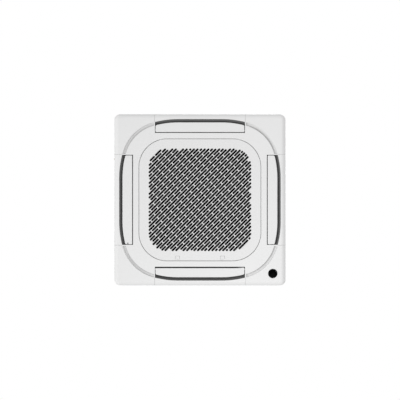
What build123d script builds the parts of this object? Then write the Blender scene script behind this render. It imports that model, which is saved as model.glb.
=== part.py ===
"""A four-way ceiling cassette air conditioner: a square panel below the ceiling, a boxed fan unit above it.

Frame: millimetres, +Z up, z = 0 is the underside of the ceiling, the origin is the middle of the unit.
Seen from the room, +X is to the right and +Y is down. The latches are on the front (+Y) side of the
grille, its hinge is on the back (-Y) side and the refrigerant pipes leave on the left (-X) side.
"""
from build123d import *
import math
import os

# The size that the rest is laid out from
BODY_HALF = 420.0              # half the side of the square body above the ceiling

# Panel: outline, drop below the ceiling and shell
PANEL_OVER = 55.0              # overlap of the panel past the body
PANEL = 2 * (BODY_HALF + PANEL_OVER)  # side of the square panel
PANEL_DROP = 40.0              # depth of the panel's face below the ceiling
PANEL_CORNER_R = 32.0          # corner radius in plan
PANEL_EDGE_R = 28.0            # soft rounding of the lower edge
SKIN = 3.0                     # moulded wall of the panel
RIM_T = 6.0                    # depth of the rim that meets the ceiling
RIM_W = 17.0                   # width of the rim outside its inner wall
UPSTAND_HALF = PANEL / 2 - RIM_W
UPSTAND_TOP = 0.0              # the inner wall ends level with the rim

# The closed curve that the outlets' outer edges and the corner channels share
LOOP_OVER = 26.0               # its straight stretches lie this far outside the body
LOOP_HALF = BODY_HALF + LOOP_OVER
LOOP_STRAIGHT = 120.0          # half-length of each straight stretch
LOOP_SIDE_R = 520.0            # slow bend beside each straight stretch
LOOP_TURN = 16.0               # degrees turned by the slow bend
CHANNEL_W = 18.0               # width of the corner channel, and of the gap beside a closed flap

# Outlets and flaps
OUTLET_IN = 50.5               # inner edge of an outlet, inside the body's side
OUTLET_INNER = BODY_HALF - OUTLET_IN
OUTLET_END = 248.5             # half-length of an outlet
DUCT_WALL = 2.0                # wall of the dark duct in each outlet
DUCT_WAY_IN = 8.0              # outer edge of the air's way at the duct's top, inside the body's side
DUCT_LEAN = LOOP_HALF - BODY_HALF + DUCT_WAY_IN
DUCT_TOP = 2.0                 # top of the duct above the ceiling line
FLAP_GAP = 3.0                 # gap at a flap's ends
FLAP_INNER_GAP = 4.5           # gap at its inner edge
FLAP_T = 7.0                   # thickness of a flap
FLAP_EDGE_R = 3.0              # rounding of its lower edge
FLAP_TOP_R = 1.0               # rounding of its upper edge
FLAP_OUTER_CORNER_R = 9.0      # rounding of its outer corners in plan
FLAP_INNER_CORNER_R = 4.0      # rounding of its inner corners in plan
DIMPLE_FROM_END = 5.5          # the small dimple in the left flap, from the flap's end
DIMPLE_FROM_EDGE = 24.5        # and from its inner edge
DIMPLE_R = 2.5
DIMPLE_DEPTH = 1.0
FLAP_AXIS_IN = 11.0            # turning axis, from the flap's inner edge
FLAP_AXIS_UP = 9.0             # turning axis, above the panel's face
FLAP_LUG_R = 5.0               # lug round the axis at each end of a flap
FLAP_LUG_L = 15.0              # length of a lug
FLAP_PIN_R = 2.5               # pin at the free end and shaft at the driven end
RUNNING = 0.05                 # radial clearance of a pin or shaft in its bore
BUSH_R = 4.5                   # bush round a flap's free pin
BUSH_HEAD_R = 5.8              # its head outside the duct
BUSH_HEAD_T = 1.5              # thickness of the head
BUSH_IN = 1.0                  # how far the bush stands into the outlet
MOTOR_R = 12.0                 # flap motor
MOTOR_L = 18.0                 # its length
MOTOR_SHIFT = 7.0              # its middle above the shaft
MOTOR_EAR_W = 34.0             # width across its two fixing ears
MOTOR_EAR_H = 8.0              # height of an ear
MOTOR_EAR_T = 1.0              # thickness of the ears
MOTOR_EAR_HOLE_R = 1.6         # screw hole in an ear
SHAFT_IN_MOTOR = 10.0          # depth of the shaft in the motor
SHAFT_IN_FLAP = 12.0           # depth of the shaft in the flap
SHAFT_HOLE_R = 3.5             # hole in the duct round the shaft

# Corner covers and the trays behind them
SEAM_PAST_OUTLET = 2.1         # the outlet strip ends and the corner cover begins this far past the outlet
SEAM_AT = OUTLET_END + SEAM_PAST_OUTLET
SEAM_GAP = 0.4                 # seam between them
COVER_T = 2.5                  # wall of a corner cover
CLEAR = 0.3                    # clearance between pieces that only lie beside each other
TRAY_DEPTH = 7.0               # depth of the channel and of the tray behind a cover
CHANNEL_BRIDGE = 5.5           # bridge between an outlet's end and the corner channel
CHANNEL_END = OUTLET_END + CHANNEL_BRIDGE
COVER_POST_R = 4.0             # posts on the back of a cover
COVER_POST_IN = 45.0           # a post's place, from the panel's side
COVER_POST_FROM_SEAM = 49.4    # and from the seam; the other post is mirrored

# Panel screws, through the trays into the hanger brackets
SCREW_FROM_FACE = 28.3         # a panel screw, out from the body's cut corner
SCREW_R = 2.5
SCREW_HEAD_R = 5.0
SCREW_HEAD_T = 3.5
SCREW_TOP = 16.0               # tip of the screw above the ceiling line
SCREW_HOLE_R = 3.0
SCREW_BOSS_R = 7.0

# Sensor in the front right corner
SENSOR_IN = (73.0, 68.0)       # its middle, in from the panel's right and front sides
SENSOR_AT = (PANEL / 2 - SENSOR_IN[0], PANEL / 2 - SENSOR_IN[1])
SENSOR_FLANGE_R = 25.75
SENSOR_FLANGE_T = 1.2
SENSOR_R = 22.5                # body of the bezel behind the cover
SENSOR_BORE_R = 20.0
SENSOR_WINDOW_R = 19.0
SENSOR_BACK = 12.0             # depth of the body behind the panel's face
LENS_RISE = 1.4                # crown of the lens
LENS_FLANGE_T = 2.0
BOARD_T = 1.6                  # thickness of a circuit board

# Suction grille
GRILLE_IN = 33.5               # edge of the grille, inside the outlets' inner edges
GRILLE_HALF = OUTLET_INNER - GRILLE_IN
GRILLE_CORNER_R = 155.0
GRILLE_GAP = 2.0
OPENING_EDGE = 2.0             # width of the slanted edge of the panel's opening, which the grille needs to swing
OPENING_SLANT = 45             # degrees
GRILLE_T = 3.0                 # face of the grille
GRILLE_EDGE_R = 2.5            # rounding of its lower edge
GRILLE_RIM_H = 13.0            # height of the grille's rim above the panel's face
GRILLE_RIM_T = 2.5
SLEEVE_TOP = 28.0              # top of the wall round the grille's opening, above the panel's face
SLOT_ZONE_IN = 52.0            # plain border of the grille
SLOT_ZONE_HALF = GRILLE_HALF - SLOT_ZONE_IN
SLOT_ZONE_R = 98.0
SLOT_W = 11.2
SLOT_BRIDGE = 3.8              # bar between two slots of a row
SLOT_PITCH = 76.7              # along a row
ROW_PITCH = 14.1               # from row to row
SLOT_PHASE = (34.0, 8.56)      # a slot's middle, along and across the rows
SLOT_SHORTEST = 1.2            # between the middles of the round ends of the shortest slot kept

# Grille hinge and latches
HINGE_IN = 3.5                 # hinge axis, from the grille's back edge
HINGE_UP = 2.5                 # hinge axis, above the panel's face
HINGE_PIN_R = 1.5
HINGE_PIN_START = 15.0         # inner end of a hinge pin, past the start of the grille's corner
HINGE_PIN_IN = GRILLE_HALF - GRILLE_CORNER_R + HINGE_PIN_START
HINGE_PIN_L = 40.0
HINGE_PIN_OUT = HINGE_PIN_IN + HINGE_PIN_L
HINGE_BOSS_R = 5.0             # boss on the panel, cut off level with its face
HINGE_EAR_R = 4.5              # boss on the grille
HINGE_EAR_END = 6.0            # that boss reaches this far past the pin
LATCH_X = 124.5
LATCH_IN = 17.0                # middle of a latch, from the grille's front edge
LATCH_Y = GRILLE_HALF - LATCH_IN
LATCH_W = 22.0
LATCH_L = 16.0
LATCH_TRAVEL = 6.0
LATCH_PAD_T = 1.4
LATCH_RECESS = 1.5             # depth of the recess round a knob
LATCH_GAP = 1.2                # gap round a knob in its recess
LATCH_STEM_W = 8.0
LATCH_STEM_L = 6.0
LATCH_BOLT_W = 16.0
LATCH_BOLT_T = 3.0
LATCH_BOLT_BACK = 20.0         # length of the bolt behind its tip

# Filter on the back of the grille
FILTER_IN = 38.0               # edge of the filter, from the grille's
FILTER_HALF = GRILLE_HALF - FILTER_IN
FILTER_R = 100.0
FILTER_BORDER = 12.0
FILTER_T = 6.0
FILTER_BAR_W = 5.0
FILTER_BARS = 4                # bars each way
MESH_T = 1.0

# Body above the ceiling
BODY_CUT = 130.0               # corners cut off the square body
BODY_BOTTOM = 8.0
BODY_TOP = 254.0
SHEET = 1.2                    # steel sheet
LINER_T = 12.0
BEAD_H = 3.0                   # raised beads on the top plate
BEAD_EDGE = 2.4                # slant of a bead's upper edge
BEAD_W = 24.0
BEAD_IN = 120.0
BEAD_MARGIN = 20.0             # the beads end this far from the body's sides

# Hanger brackets
HANGER_IN = (30.0, 65.0)       # the hanging rods, in from the body's sides
HANGER_SLOT_W = 12.0
HANGER_SLOT_L = 32.0
HANGER_SHEET = 2.5
HANGER_W = 80.0                # width on the cut corner
HANGER_LOW = 8.0
HANGER_HIGH = 190.0
HANGER_TAB_Z = 140.0
HANGER_TAB_EDGE = 28.0         # reach of the tab past the rod along X
HANGER_TAB_SIDE = 20.0         # reach of the tab past the rod along Y
HANGER_FOOT_W = 40.0
HANGER_FOOT_L = 43.0

# Drain pan and seal
SEAL_IN = 9.0                  # inner edge of the seal, outside the grille
PAN_CLEAR = 0.3
PAN_WALL = 8.0                 # wall of the pan inside its trough
PAN_INNER_R = 55.0
PAN_FLOOR = 28.0               # floor of the trough
PAN_TOP = 50.0
TROUGH_WALL = 22.5             # wall of the pan between its trough and an outlet
TROUGH_W = 64.0
TROUGH_OUTER_R = 90.0
TROUGH_INNER_R = 60.0

# Bell mouth
BELL_PLATE_LAP = 25.0          # the bell mouth's plate laps this far under the pan
BELL_PLATE_R = 75.0
BELL_T = 2.5
BELL_THROAT_R = 160.0
BELL_FLARE = 45.0
BELL_NECK = 10.0

# Coil
COIL_IN = 12.0                 # the coil stands this far inside the trough's outer wall
COIL_DEPTH = 44.0
COIL_OUTER_R = 80.0
COIL_OPEN_IN = 130.0           # at the pipe corner the coil stops this far inside its outer face
COIL_TOP = 215.0
BEND_R = 12.0
BEND_TUBE_R = 4.5
BENDS = 6

# Fan
FAN_R = 230.0
FAN_EYE_R = 165.0
FAN_T = 3.0
FAN_TOP = 198.0
FAN_SHROUD_OUT = 95.0          # height of the shroud at its outside
FAN_SHROUD_IN = 60.0           # height of the shroud at the eye
FAN_DISH_R = 90.0              # the hub is dished round the motor
FAN_DISH_LOW_R = 80.0
FAN_DISH_LOW = 147.0
FAN_BOSS_R = 14.0
FAN_BOSS_LOW = 138.0
FAN_BLADES = 7
BLADE_IN_R = 172.0
BLADE_OUT_R = 226.0
BLADE_SWEEP = 34.0             # degrees a blade leans back
BLADE_BOW = 4.0                # degrees a blade's middle stands off the straight line between its ends
FAN_SHAFT_R = 6.0
FAN_SHAFT_LOW = 124.0
FAN_MOTOR_R = 68.0
FAN_MOTOR_EDGE_R = 8.5         # rounding of its lower edge
FAN_MOTOR_LOW = 165.0
FAN_MOTOR_TOP = 244.0
FAN_SHAFT_IN = 14.0
FOOT_R = 92.0                  # the motor's feet, from its axis
FOOT_W = 22.0
FOOT_T = 4.0
ISOLATOR_R = 9.0
FAN_NUT_R = 10.0
FAN_NUT_T = 9.0

# Drain pump, float switch and drain
PUMP_IN = 120.0                # the pump's middle, from the body's left and back sides
PUMP_AT = (PUMP_IN - BODY_HALF, PUMP_IN - BODY_HALF)
PUMP_R = 30.0
PUMP_LOW = 110.0
PUMP_TOP = 180.0
PUMP_NECK_R = 8.0
CHAMBER_R = 20.0
CHAMBER_BORE_R = 16.0
CHAMBER_LOW = 34.0
CHAMBER_TOP = 60.0
CHAMBER_FLOOR = 2.0
CHAMBER_ROOF = 6.0
INLET_R = 8.0
IMPELLER_R = 14.0
IMPELLER_GAP = 1.5
IMPELLER_HUB_R = 5.0
IMPELLER_SHAFT_R = 2.5
IMPELLER_SHAFT_L = 12.0
IMPELLER_VANES = 4
VANE_T = 2.0
PUMP_BRACKET_W = 50.0
PUMP_BRACKET_T = 3.0
FLOAT_FROM_PUMP = (-22.0, 54.0)
FLOAT_AT = (PUMP_AT[0] + FLOAT_FROM_PUMP[0], PUMP_AT[1] + FLOAT_FROM_PUMP[1])
FLOAT_STEM_R = 4.0
FLOAT_STEM_LOW = 32.0
FLOAT_ARM_Z = 116.0
FLOAT_ARM_W = 10.0
FLOAT_ARM_T = 4.0
FLOAT_STOP_R = 7.0
FLOAT_STOP_T = 3.0
FLOAT_RING_R = 13.0
FLOAT_RING_H = 14.0
FLOAT_TRAVEL = 12.0
DRAIN_FROM_PUMP = 42.0         # the drain's tube, right of the pump
DRAIN_X = PUMP_AT[0] + DRAIN_FROM_PUMP
DRAIN_Z = 150.0
DRAIN_TUBE_R = 8.0
DRAIN_TUBE_T = 2.0
DRAIN_BEND_R = 14.0
SOCKET_R = 16.0
SOCKET_BORE_R = 12.0
SOCKET_L = 60.0
SOCKET_GRIP = 12.0             # depth of the tube in the socket
SOCKET_FLANGE = 46.0
SOCKET_FLANGE_R = 6.0          # its corners
SOCKET_FLANGE_T = 4.0

# Refrigerant pipes
GAS_R = 7.95
LIQUID_R = 4.75
PIPE_T = 1.0
GAS_FROM_COIL = (30.0, 53.0)   # inside the coil's outer face where it leaves, and past its end where it crosses the wall
LIQUID_FROM_COIL = (13.0, 27.0)
GAS_Z = 170.0
LIQUID_Z = 134.0
PIPE_OUT = 70.0                # free end of the unions, outside the body
PIPE_BEND_R = 20.0
LIQUID_BEND_R = 14.0
UNION_HEX_L = 20.0             # hexagon of the union brazed on each pipe
UNION_SPIGOT_L = 32.0          # its free spigot, which the site pipe goes on
UNION_STOP = 5.0               # the pipe stops this far inside the hexagon
GAS_HEX_R = 14.0
LIQUID_HEX_R = 10.0
PIPE_PLATE_T = 2.0
PIPE_PLATE_EDGE = 16.0         # margin of the plate round the pipes
PIPE_PLATE_R = 8.0             # its corners
PIPE_HOLE_CLEAR = 0.5

# Wiring inlet and control box
GROMMET_Y = -120.0
GROMMET_Z = 200.0
GROMMET_R = 16.0
GROMMET_BORE_R = 11.0
GROMMET_LIP_R = 19.0
GROMMET_LIP_T = 2.5
BOX_IN = 11.0                  # outer side of the control box, from the grille's edge
BOX_W = 107.0
BOX_HALF_Y = 150.0
BOX_LOW = -20.0
STANDOFF_R = 3.0
STANDOFF_H = 7.0
BOARD_EDGE = 8.0               # margin of the board inside the box
CAN_R = 8.0                    # round capacitors on the board
CAN_H = 14.0
CAN_AT = ((20.0, 30.0), (20.0, 54.0))  # from the board's middle
COIL_BLOCK = (-30.0, -2.0, 20.0, 60.0)  # limits of the transformer
COIL_BLOCK_H = 16.0
CHIP = (-14.0, 14.0, -30.0, -6.0)      # limits of the main chip
CHIP_H = 3.0
PLUG_ROW = (-34.0, -18.0)      # limits of the row of plugs
PLUG_W = 12.0
PLUG_PITCH = 14.0
PLUG_H = 12.0
PLUGS = 5

# Worked out from the sizes above
FACE = -PANEL_DROP
TROUGH_OUTER = OUTLET_INNER - TROUGH_WALL
TROUGH_INNER = TROUGH_OUTER - TROUGH_W
PAN_INNER = TROUGH_INNER - PAN_WALL
BELL_PLATE_HALF = PAN_INNER + BELL_PLATE_LAP
COIL_OUTER = TROUGH_OUTER - COIL_IN
COIL_OPEN = COIL_OUTER - COIL_OPEN_IN
SEAL_INNER = GRILLE_HALF + SEAL_IN
GAS_AT = (GAS_FROM_COIL[0] - COIL_OUTER, -COIL_OPEN - GAS_FROM_COIL[1], GAS_Z)
LIQUID_AT = (LIQUID_FROM_COIL[0] - COIL_OUTER, -COIL_OPEN - LIQUID_FROM_COIL[1], LIQUID_Z)
PIPE_END = BODY_HALF + PIPE_OUT
BOX_X = (BOX_IN - GRILLE_HALF, BOX_IN + BOX_W - GRILLE_HALF)
HANGER_X = BODY_HALF - HANGER_IN[0]
HANGER_Y = BODY_HALF - HANGER_IN[1]
BEAD_OUT = BODY_HALF - BEAD_MARGIN
HINGE_EAR_IN = HINGE_PIN_IN - HINGE_EAR_END
TURN = math.radians(LOOP_TURN)
SIDE_CENTRE = (LOOP_STRAIGHT, LOOP_HALF - LOOP_SIDE_R)
TURN_POINT = (
    SIDE_CENTRE[0] + LOOP_SIDE_R * math.sin(TURN),
    SIDE_CENTRE[1] + LOOP_SIDE_R * math.cos(TURN),
)
LOOP_CORNER_R = (TURN_POINT[1] - TURN_POINT[0]) / (math.cos(TURN) - math.sin(TURN))
LOOP_CORNER_AT = TURN_POINT[0] - LOOP_CORNER_R * math.sin(TURN)
FLAP_INNER = OUTLET_INNER + FLAP_INNER_GAP
FLAP_END = OUTLET_END - FLAP_GAP
FLAP_AXIS_Y = FLAP_INNER + FLAP_AXIS_IN
FLAP_AXIS_Z = FACE + FLAP_AXIS_UP
DUCT_END = OUTLET_END + DUCT_WALL
TRAY_FLOOR = FACE + TRAY_DEPTH
COVER_EDGE = SEAM_AT + SEAM_GAP
BODY_INSIDE = BODY_HALF - SHEET
LINER_INSIDE = BODY_INSIDE - LINER_T
CORNER_FACE = (2 * BODY_HALF - BODY_CUT) / math.sqrt(2)
SCREW_AT = (CORNER_FACE + SCREW_FROM_FACE) / math.sqrt(2)
DIMPLE_AT = (FLAP_END - DIMPLE_FROM_END, FLAP_INNER + DIMPLE_FROM_EDGE)
COVER_POST_AT = (PANEL / 2 - COVER_POST_IN, SEAM_AT + COVER_POST_FROM_SEAM)
HINGE_Y = HINGE_IN - GRILLE_HALF
HINGE_Z = FACE + HINGE_UP
ROOM = 2 * PANEL               # larger than anything in the unit

SIDES = ("front", "left", "back", "right")
CORNERS = ("front_right", "front_left", "back_left", "back_right")


# ---------------------------------------------------------------- helpers

def slab(shape, low, high):
    """A flat shape in plan, raised between two heights."""
    return extrude(Pos(0, 0, low) * shape, high - low)


def square(half, radius):
    """A rounded square in plan, round the unit's axis."""
    return RectangleRounded(2 * half, 2 * half, radius)


def field(x0, x1, y0, y1):
    """A plain rectangle in plan between two pairs of limits."""
    return Pos((x0 + x1) / 2, (y0 + y1) / 2) * Rectangle(x1 - x0, y1 - y0)


def block(x0, x1, y0, y1, z0, z1):
    """A plain block between three pairs of limits."""
    return slab(field(x0, x1, y0, y1), z0, z1)


def dish(inset, low, high):
    """The panel's outer form, made smaller by inset: a rounded square whose lower edge is soft."""
    form = slab(square(PANEL / 2 - inset, PANEL_CORNER_R - inset), low, high)
    return fillet(form.edges().group_by(Axis.Z)[0], PANEL_EDGE_R - inset)


def octagon(inset):
    """The body's outline in plan, made smaller by inset."""
    half = BODY_HALF - inset
    cut = BODY_CUT - inset * (2 - math.sqrt(2))
    near = half - cut
    return make_face(Polyline(
        (near, half), (half, near), (half, -near), (near, -half),
        (-near, -half), (-half, -near), (-half, near), (-near, half), close=True))


def rod_x(x0, x1, y, z, radius):
    """A round rod along X."""
    return Pos((x0 + x1) / 2, y, z) * Rot(0, 90, 0) * Cylinder(radius, x1 - x0)


def rod_y(y0, y1, x, z, radius):
    """A round rod along Y."""
    return Pos(x, (y0 + y1) / 2, z) * Rot(90, 0, 0) * Cylinder(radius, y1 - y0)


def rod_z(x, y, z0, z1, radius):
    """A round rod along Z."""
    return Pos(x, y, (z0 + z1) / 2) * Cylinder(radius, z1 - z0)


def turned(shape, quarter):
    """The same shape, moved round to another side of the unit."""
    return Rot(0, 0, 90 * quarter) * shape


def all_round(shape):
    """The same shape on all four sides, joined."""
    return turned(shape, 0) + turned(shape, 1) + turned(shape, 2) + turned(shape, 3)


def loop(grow):
    """The outlets' and channels' shared curve, moved outwards by grow, as a filled shape."""
    side_r = LOOP_SIDE_R + grow
    corner_r = LOOP_CORNER_R + grow

    def on_side(angle):
        return (SIDE_CENTRE[0] + side_r * math.sin(angle), SIDE_CENTRE[1] + side_r * math.cos(angle))

    def swapped(point):
        return (point[1], point[0])

    start = (-LOOP_STRAIGHT, LOOP_HALF + grow)
    bend = on_side(0)
    bend_middle = on_side(TURN / 2)
    bend_end = on_side(TURN)
    corner_middle = (LOOP_CORNER_AT + corner_r / math.sqrt(2),) * 2
    edges = []
    for quarter in range(4):
        spin = Rot(0, 0, -90 * quarter)
        edges += [
            spin * Line(start, bend),
            spin * ThreePointArc(bend, bend_middle, bend_end),
            spin * ThreePointArc(bend_end, corner_middle, swapped(bend_end)),
            spin * ThreePointArc(swapped(bend_end), swapped(bend_middle), swapped(bend)),
        ]
    return make_face(edges)


def outlet_shape(grow, lean=0.0):
    """An outlet on the front side, grown by a wall; lean draws its outer edge in."""
    inner = OUTLET_INNER - grow
    end = OUTLET_END + grow
    return loop(grow - lean) & field(-end, end, inner, PANEL / 2)


# ---------------------------------------------------------------- panel

def tray_shapes():
    """The front right corner's tray in plan: its whole area, its hollow, and the part under the cover."""
    outside = ROOM / 2
    channel = field(CHANNEL_END, outside, CHANNEL_END, outside) - loop(-CHANNEL_W)
    seat = field(SEAM_AT, outside, SEAM_AT, outside) - loop(0)
    hollow = channel + seat
    around_channel = (field(CHANNEL_END - SKIN, outside, CHANNEL_END - SKIN, outside)
                      - loop(-CHANNEL_W - SKIN))
    around_seat = field(SEAM_AT - SKIN, outside, SEAM_AT - SKIN, outside) - loop(DUCT_WALL + CLEAR)
    return around_channel + around_seat, hollow, around_seat - seat


def screw_boss():
    return rod_z(SCREW_AT, SCREW_AT, TRAY_FLOOR, HANGER_LOW - CLEAR, SCREW_BOSS_R)


def panel_frame():
    outer = dish(0, FACE, 0)
    body = outer - dish(SKIN, FACE + SKIN, RIM_T)
    whole, hollow, end_wall = tray_shapes()
    body -= all_round(slab(whole, FACE, -RIM_T))
    rim_inside = square(UPSTAND_HALF - SKIN, PANEL_CORNER_R - SKIN)
    rim = slab(square(PANEL / 2, PANEL_CORNER_R) - rim_inside, -RIM_T, 0)
    upstand = slab(square(UPSTAND_HALF, PANEL_CORNER_R) - rim_inside, FACE + SKIN, UPSTAND_TOP)
    core = dish(COVER_T + CLEAR, FACE + COVER_T + CLEAR, 0)
    floor = slab(whole, TRAY_FLOOR, TRAY_FLOOR + SKIN) & core
    walls = slab(whole - hollow, FACE, TRAY_FLOOR) & outer
    ends = slab(end_wall, TRAY_FLOOR, -RIM_T) & outer
    body += rim + (upstand & outer) + all_round(floor + walls + ends + screw_boss())
    body -= all_round(slab(hollow, FACE, TRAY_FLOOR))
    body -= all_round(rod_z(SCREW_AT, SCREW_AT, TRAY_FLOOR, BODY_BOTTOM, SCREW_HOLE_R))
    body -= all_round(slab(outlet_shape(0), FACE, 0))
    opening = GRILLE_HALF + GRILLE_GAP
    opening_r = GRILLE_CORNER_R + GRILLE_GAP
    body += slab(square(opening + SKIN, opening_r + SKIN), FACE, FACE + SLEEVE_TOP)
    boss = rod_x(HINGE_EAR_IN, HINGE_PIN_OUT + SKIN, HINGE_Y, HINGE_Z, HINGE_BOSS_R) & outer
    body += boss + mirror(boss, Plane.YZ)
    body -= slab(square(opening, opening_r), FACE, FACE + SLEEVE_TOP)
    mouth = Pos(0, 0, FACE) * square(opening + OPENING_EDGE, opening_r + OPENING_EDGE)
    body -= extrude(mouth, OPENING_EDGE, taper=OPENING_SLANT)
    pin_hole = rod_x(HINGE_PIN_IN, HINGE_PIN_OUT, HINGE_Y, HINGE_Z, HINGE_PIN_R)
    body -= pin_hole + mirror(pin_hole, Plane.YZ)
    keeper = block(LATCH_X - LATCH_BOLT_W / 2 - CLEAR, LATCH_X + LATCH_BOLT_W / 2 + CLEAR,
                   GRILLE_HALF, opening + SKIN, FACE + GRILLE_T, FACE + SLEEVE_TOP / 2)
    body -= keeper + mirror(keeper, Plane.YZ)
    body -= rod_z(*SENSOR_AT, TRAY_FLOOR, 0, SENSOR_R + CLEAR)
    return body


def corner_cover(quarter):
    outside = ROOM / 2
    shape = field(COVER_EDGE, outside, COVER_EDGE, outside) - loop(0)
    inset = COVER_EDGE + COVER_T
    inner_shape = field(inset, outside, inset, outside) - loop(COVER_T)
    inner = dish(COVER_T, FACE + COVER_T, 0)
    cover = slab(shape, FACE, -RIM_T - CLEAR) & dish(0, FACE, 0)
    cover -= slab(inner_shape, FACE + COVER_T, 0) & inner
    cover -= slab(shape, TRAY_FLOOR, 0) & inner
    for x, y in (COVER_POST_AT, COVER_POST_AT[::-1]):
        cover += rod_z(x, y, FACE + COVER_T / 2, TRAY_FLOOR, COVER_POST_R)
    if CORNERS[quarter] == "front_right":
        cover -= rod_z(*SENSOR_AT, FACE, 0, SENSOR_R)
    return turned(cover, quarter)


def outlet_duct(quarter):
    low = FACE + SKIN + CLEAR / 3

    def form(grow):
        return loft([Pos(0, 0, low) * outlet_shape(grow), Pos(0, 0, DUCT_TOP) * outlet_shape(grow, DUCT_LEAN)],
                    ruled=True)

    duct = form(DUCT_WALL) - form(0)
    duct -= rod_x(FLAP_END, DUCT_END + 1, FLAP_AXIS_Y, FLAP_AXIS_Z, SHAFT_HOLE_R)
    duct -= rod_x(-DUCT_END - 1, -FLAP_END, FLAP_AXIS_Y, FLAP_AXIS_Z, BUSH_R)
    return turned(duct, quarter)


def flap(quarter):
    shape = loop(-CHANNEL_W) & field(-FLAP_END, FLAP_END, FLAP_INNER, PANEL / 2)
    blade = slab(shape, FACE, FACE + FLAP_T)
    ends = blade.edges().filter_by(Axis.Z).group_by(Axis.X)
    corners = (ends[0] + ends[-1]).group_by(Axis.Y)
    blade = fillet(corners[-1], FLAP_OUTER_CORNER_R)
    ends = blade.edges().filter_by(Axis.Z).group_by(Axis.Y)[0]
    blade = fillet(ends, FLAP_INNER_CORNER_R)
    blade = fillet(blade.edges().group_by(Axis.Z)[0], FLAP_EDGE_R)
    blade = fillet(blade.edges().group_by(Axis.Z)[-1], FLAP_TOP_R)
    for low, high in ((FLAP_END - FLAP_LUG_L, FLAP_END), (-FLAP_END, FLAP_LUG_L - FLAP_END)):
        blade += rod_x(low, high, FLAP_AXIS_Y, FLAP_AXIS_Z, FLAP_LUG_R)
    blade += rod_x(-DUCT_END - BUSH_HEAD_T, -FLAP_END, FLAP_AXIS_Y, FLAP_AXIS_Z, FLAP_PIN_R)
    blade -= rod_x(FLAP_END - SHAFT_IN_FLAP, FLAP_END, FLAP_AXIS_Y, FLAP_AXIS_Z, FLAP_PIN_R)
    if SIDES[quarter] == "left":
        blade -= rod_z(*DIMPLE_AT, FACE, FACE + DIMPLE_DEPTH, DIMPLE_R)
    return turned(blade, quarter)


def flap_shaft(quarter):
    face = DUCT_END + CLEAR
    shaft = rod_x(FLAP_END - SHAFT_IN_FLAP, face + SHAFT_IN_MOTOR, FLAP_AXIS_Y, FLAP_AXIS_Z, FLAP_PIN_R)
    return turned(shaft, quarter)


def flap_motor(quarter):
    face = DUCT_END + CLEAR
    middle = FLAP_AXIS_Z + MOTOR_SHIFT
    motor = rod_x(face, face + MOTOR_L, FLAP_AXIS_Y, middle, MOTOR_R)
    ears = Plane.YZ.offset(face) * Pos(FLAP_AXIS_Y, middle) * SlotOverall(MOTOR_EAR_W, MOTOR_EAR_H)
    motor += extrude(ears, MOTOR_EAR_T)
    reach = (MOTOR_EAR_W - MOTOR_EAR_H) / 2
    for side in (-1, 1):
        motor -= rod_x(face, face + MOTOR_EAR_T, FLAP_AXIS_Y + side * reach, middle, MOTOR_EAR_HOLE_R)
    motor -= rod_x(face, face + SHAFT_IN_MOTOR + CLEAR, FLAP_AXIS_Y, FLAP_AXIS_Z, FLAP_PIN_R + RUNNING)
    return turned(motor, quarter)


def flap_bushes():
    head = rod_x(-DUCT_END - BUSH_HEAD_T, -DUCT_END, FLAP_AXIS_Y, FLAP_AXIS_Z, BUSH_HEAD_R)
    bush = head + rod_x(-DUCT_END, -OUTLET_END + BUSH_IN, FLAP_AXIS_Y, FLAP_AXIS_Z, BUSH_R)
    bush -= rod_x(-DUCT_END - BUSH_HEAD_T, -OUTLET_END + BUSH_IN, FLAP_AXIS_Y, FLAP_AXIS_Z,
                  FLAP_PIN_R + RUNNING)
    return Compound(children=[turned(bush, quarter) for quarter in range(4)])


# ---------------------------------------------------------------- sensor

def sensor_bezel():
    x, y = SENSOR_AT
    bezel = rod_z(x, y, FACE - SENSOR_FLANGE_T, FACE, SENSOR_FLANGE_R)
    bezel += rod_z(x, y, FACE, FACE + SENSOR_BACK, SENSOR_R)
    bezel -= rod_z(x, y, FACE, FACE + SENSOR_BACK, SENSOR_BORE_R)
    bezel -= rod_z(x, y, FACE - SENSOR_FLANGE_T, FACE, SENSOR_WINDOW_R)
    return bezel


def sensor_lens():
    radius = SENSOR_WINDOW_R - RUNNING
    front = FACE - SENSOR_FLANGE_T
    profile = make_face([
        Line((0, front - LENS_RISE), (0, FACE + LENS_FLANGE_T)),
        Line((0, FACE + LENS_FLANGE_T), (SENSOR_BORE_R - RUNNING, FACE + LENS_FLANGE_T)),
        Line((SENSOR_BORE_R - RUNNING, FACE + LENS_FLANGE_T), (SENSOR_BORE_R - RUNNING, FACE)),
        Line((SENSOR_BORE_R - RUNNING, FACE), (radius, FACE)),
        Line((radius, FACE), (radius, front)),
        TangentArc((0, front - LENS_RISE), (radius, front), tangent=(1, 0)),
    ])
    return Pos(*SENSOR_AT, 0) * revolve(Plane.XZ * profile, Axis.Z)


def sensor_board():
    back = FACE + SENSOR_BACK
    return rod_z(*SENSOR_AT, back - BOARD_T, back, SENSOR_BORE_R - RUNNING)


# ---------------------------------------------------------------- suction grille

def half_chord(across, half, radius):
    """Half the length of a 45 degree line inside a rounded square, at a distance from its middle."""
    across = abs(across)
    corner = (half - radius) * math.sqrt(2)
    if across < radius / math.sqrt(2):
        return corner + math.sqrt(radius ** 2 - across ** 2)
    if across < (2 * half - radius) / math.sqrt(2):
        return half * math.sqrt(2) - across
    if across < corner + radius:
        return math.sqrt(radius ** 2 - (across - corner) ** 2)
    return None


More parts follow.
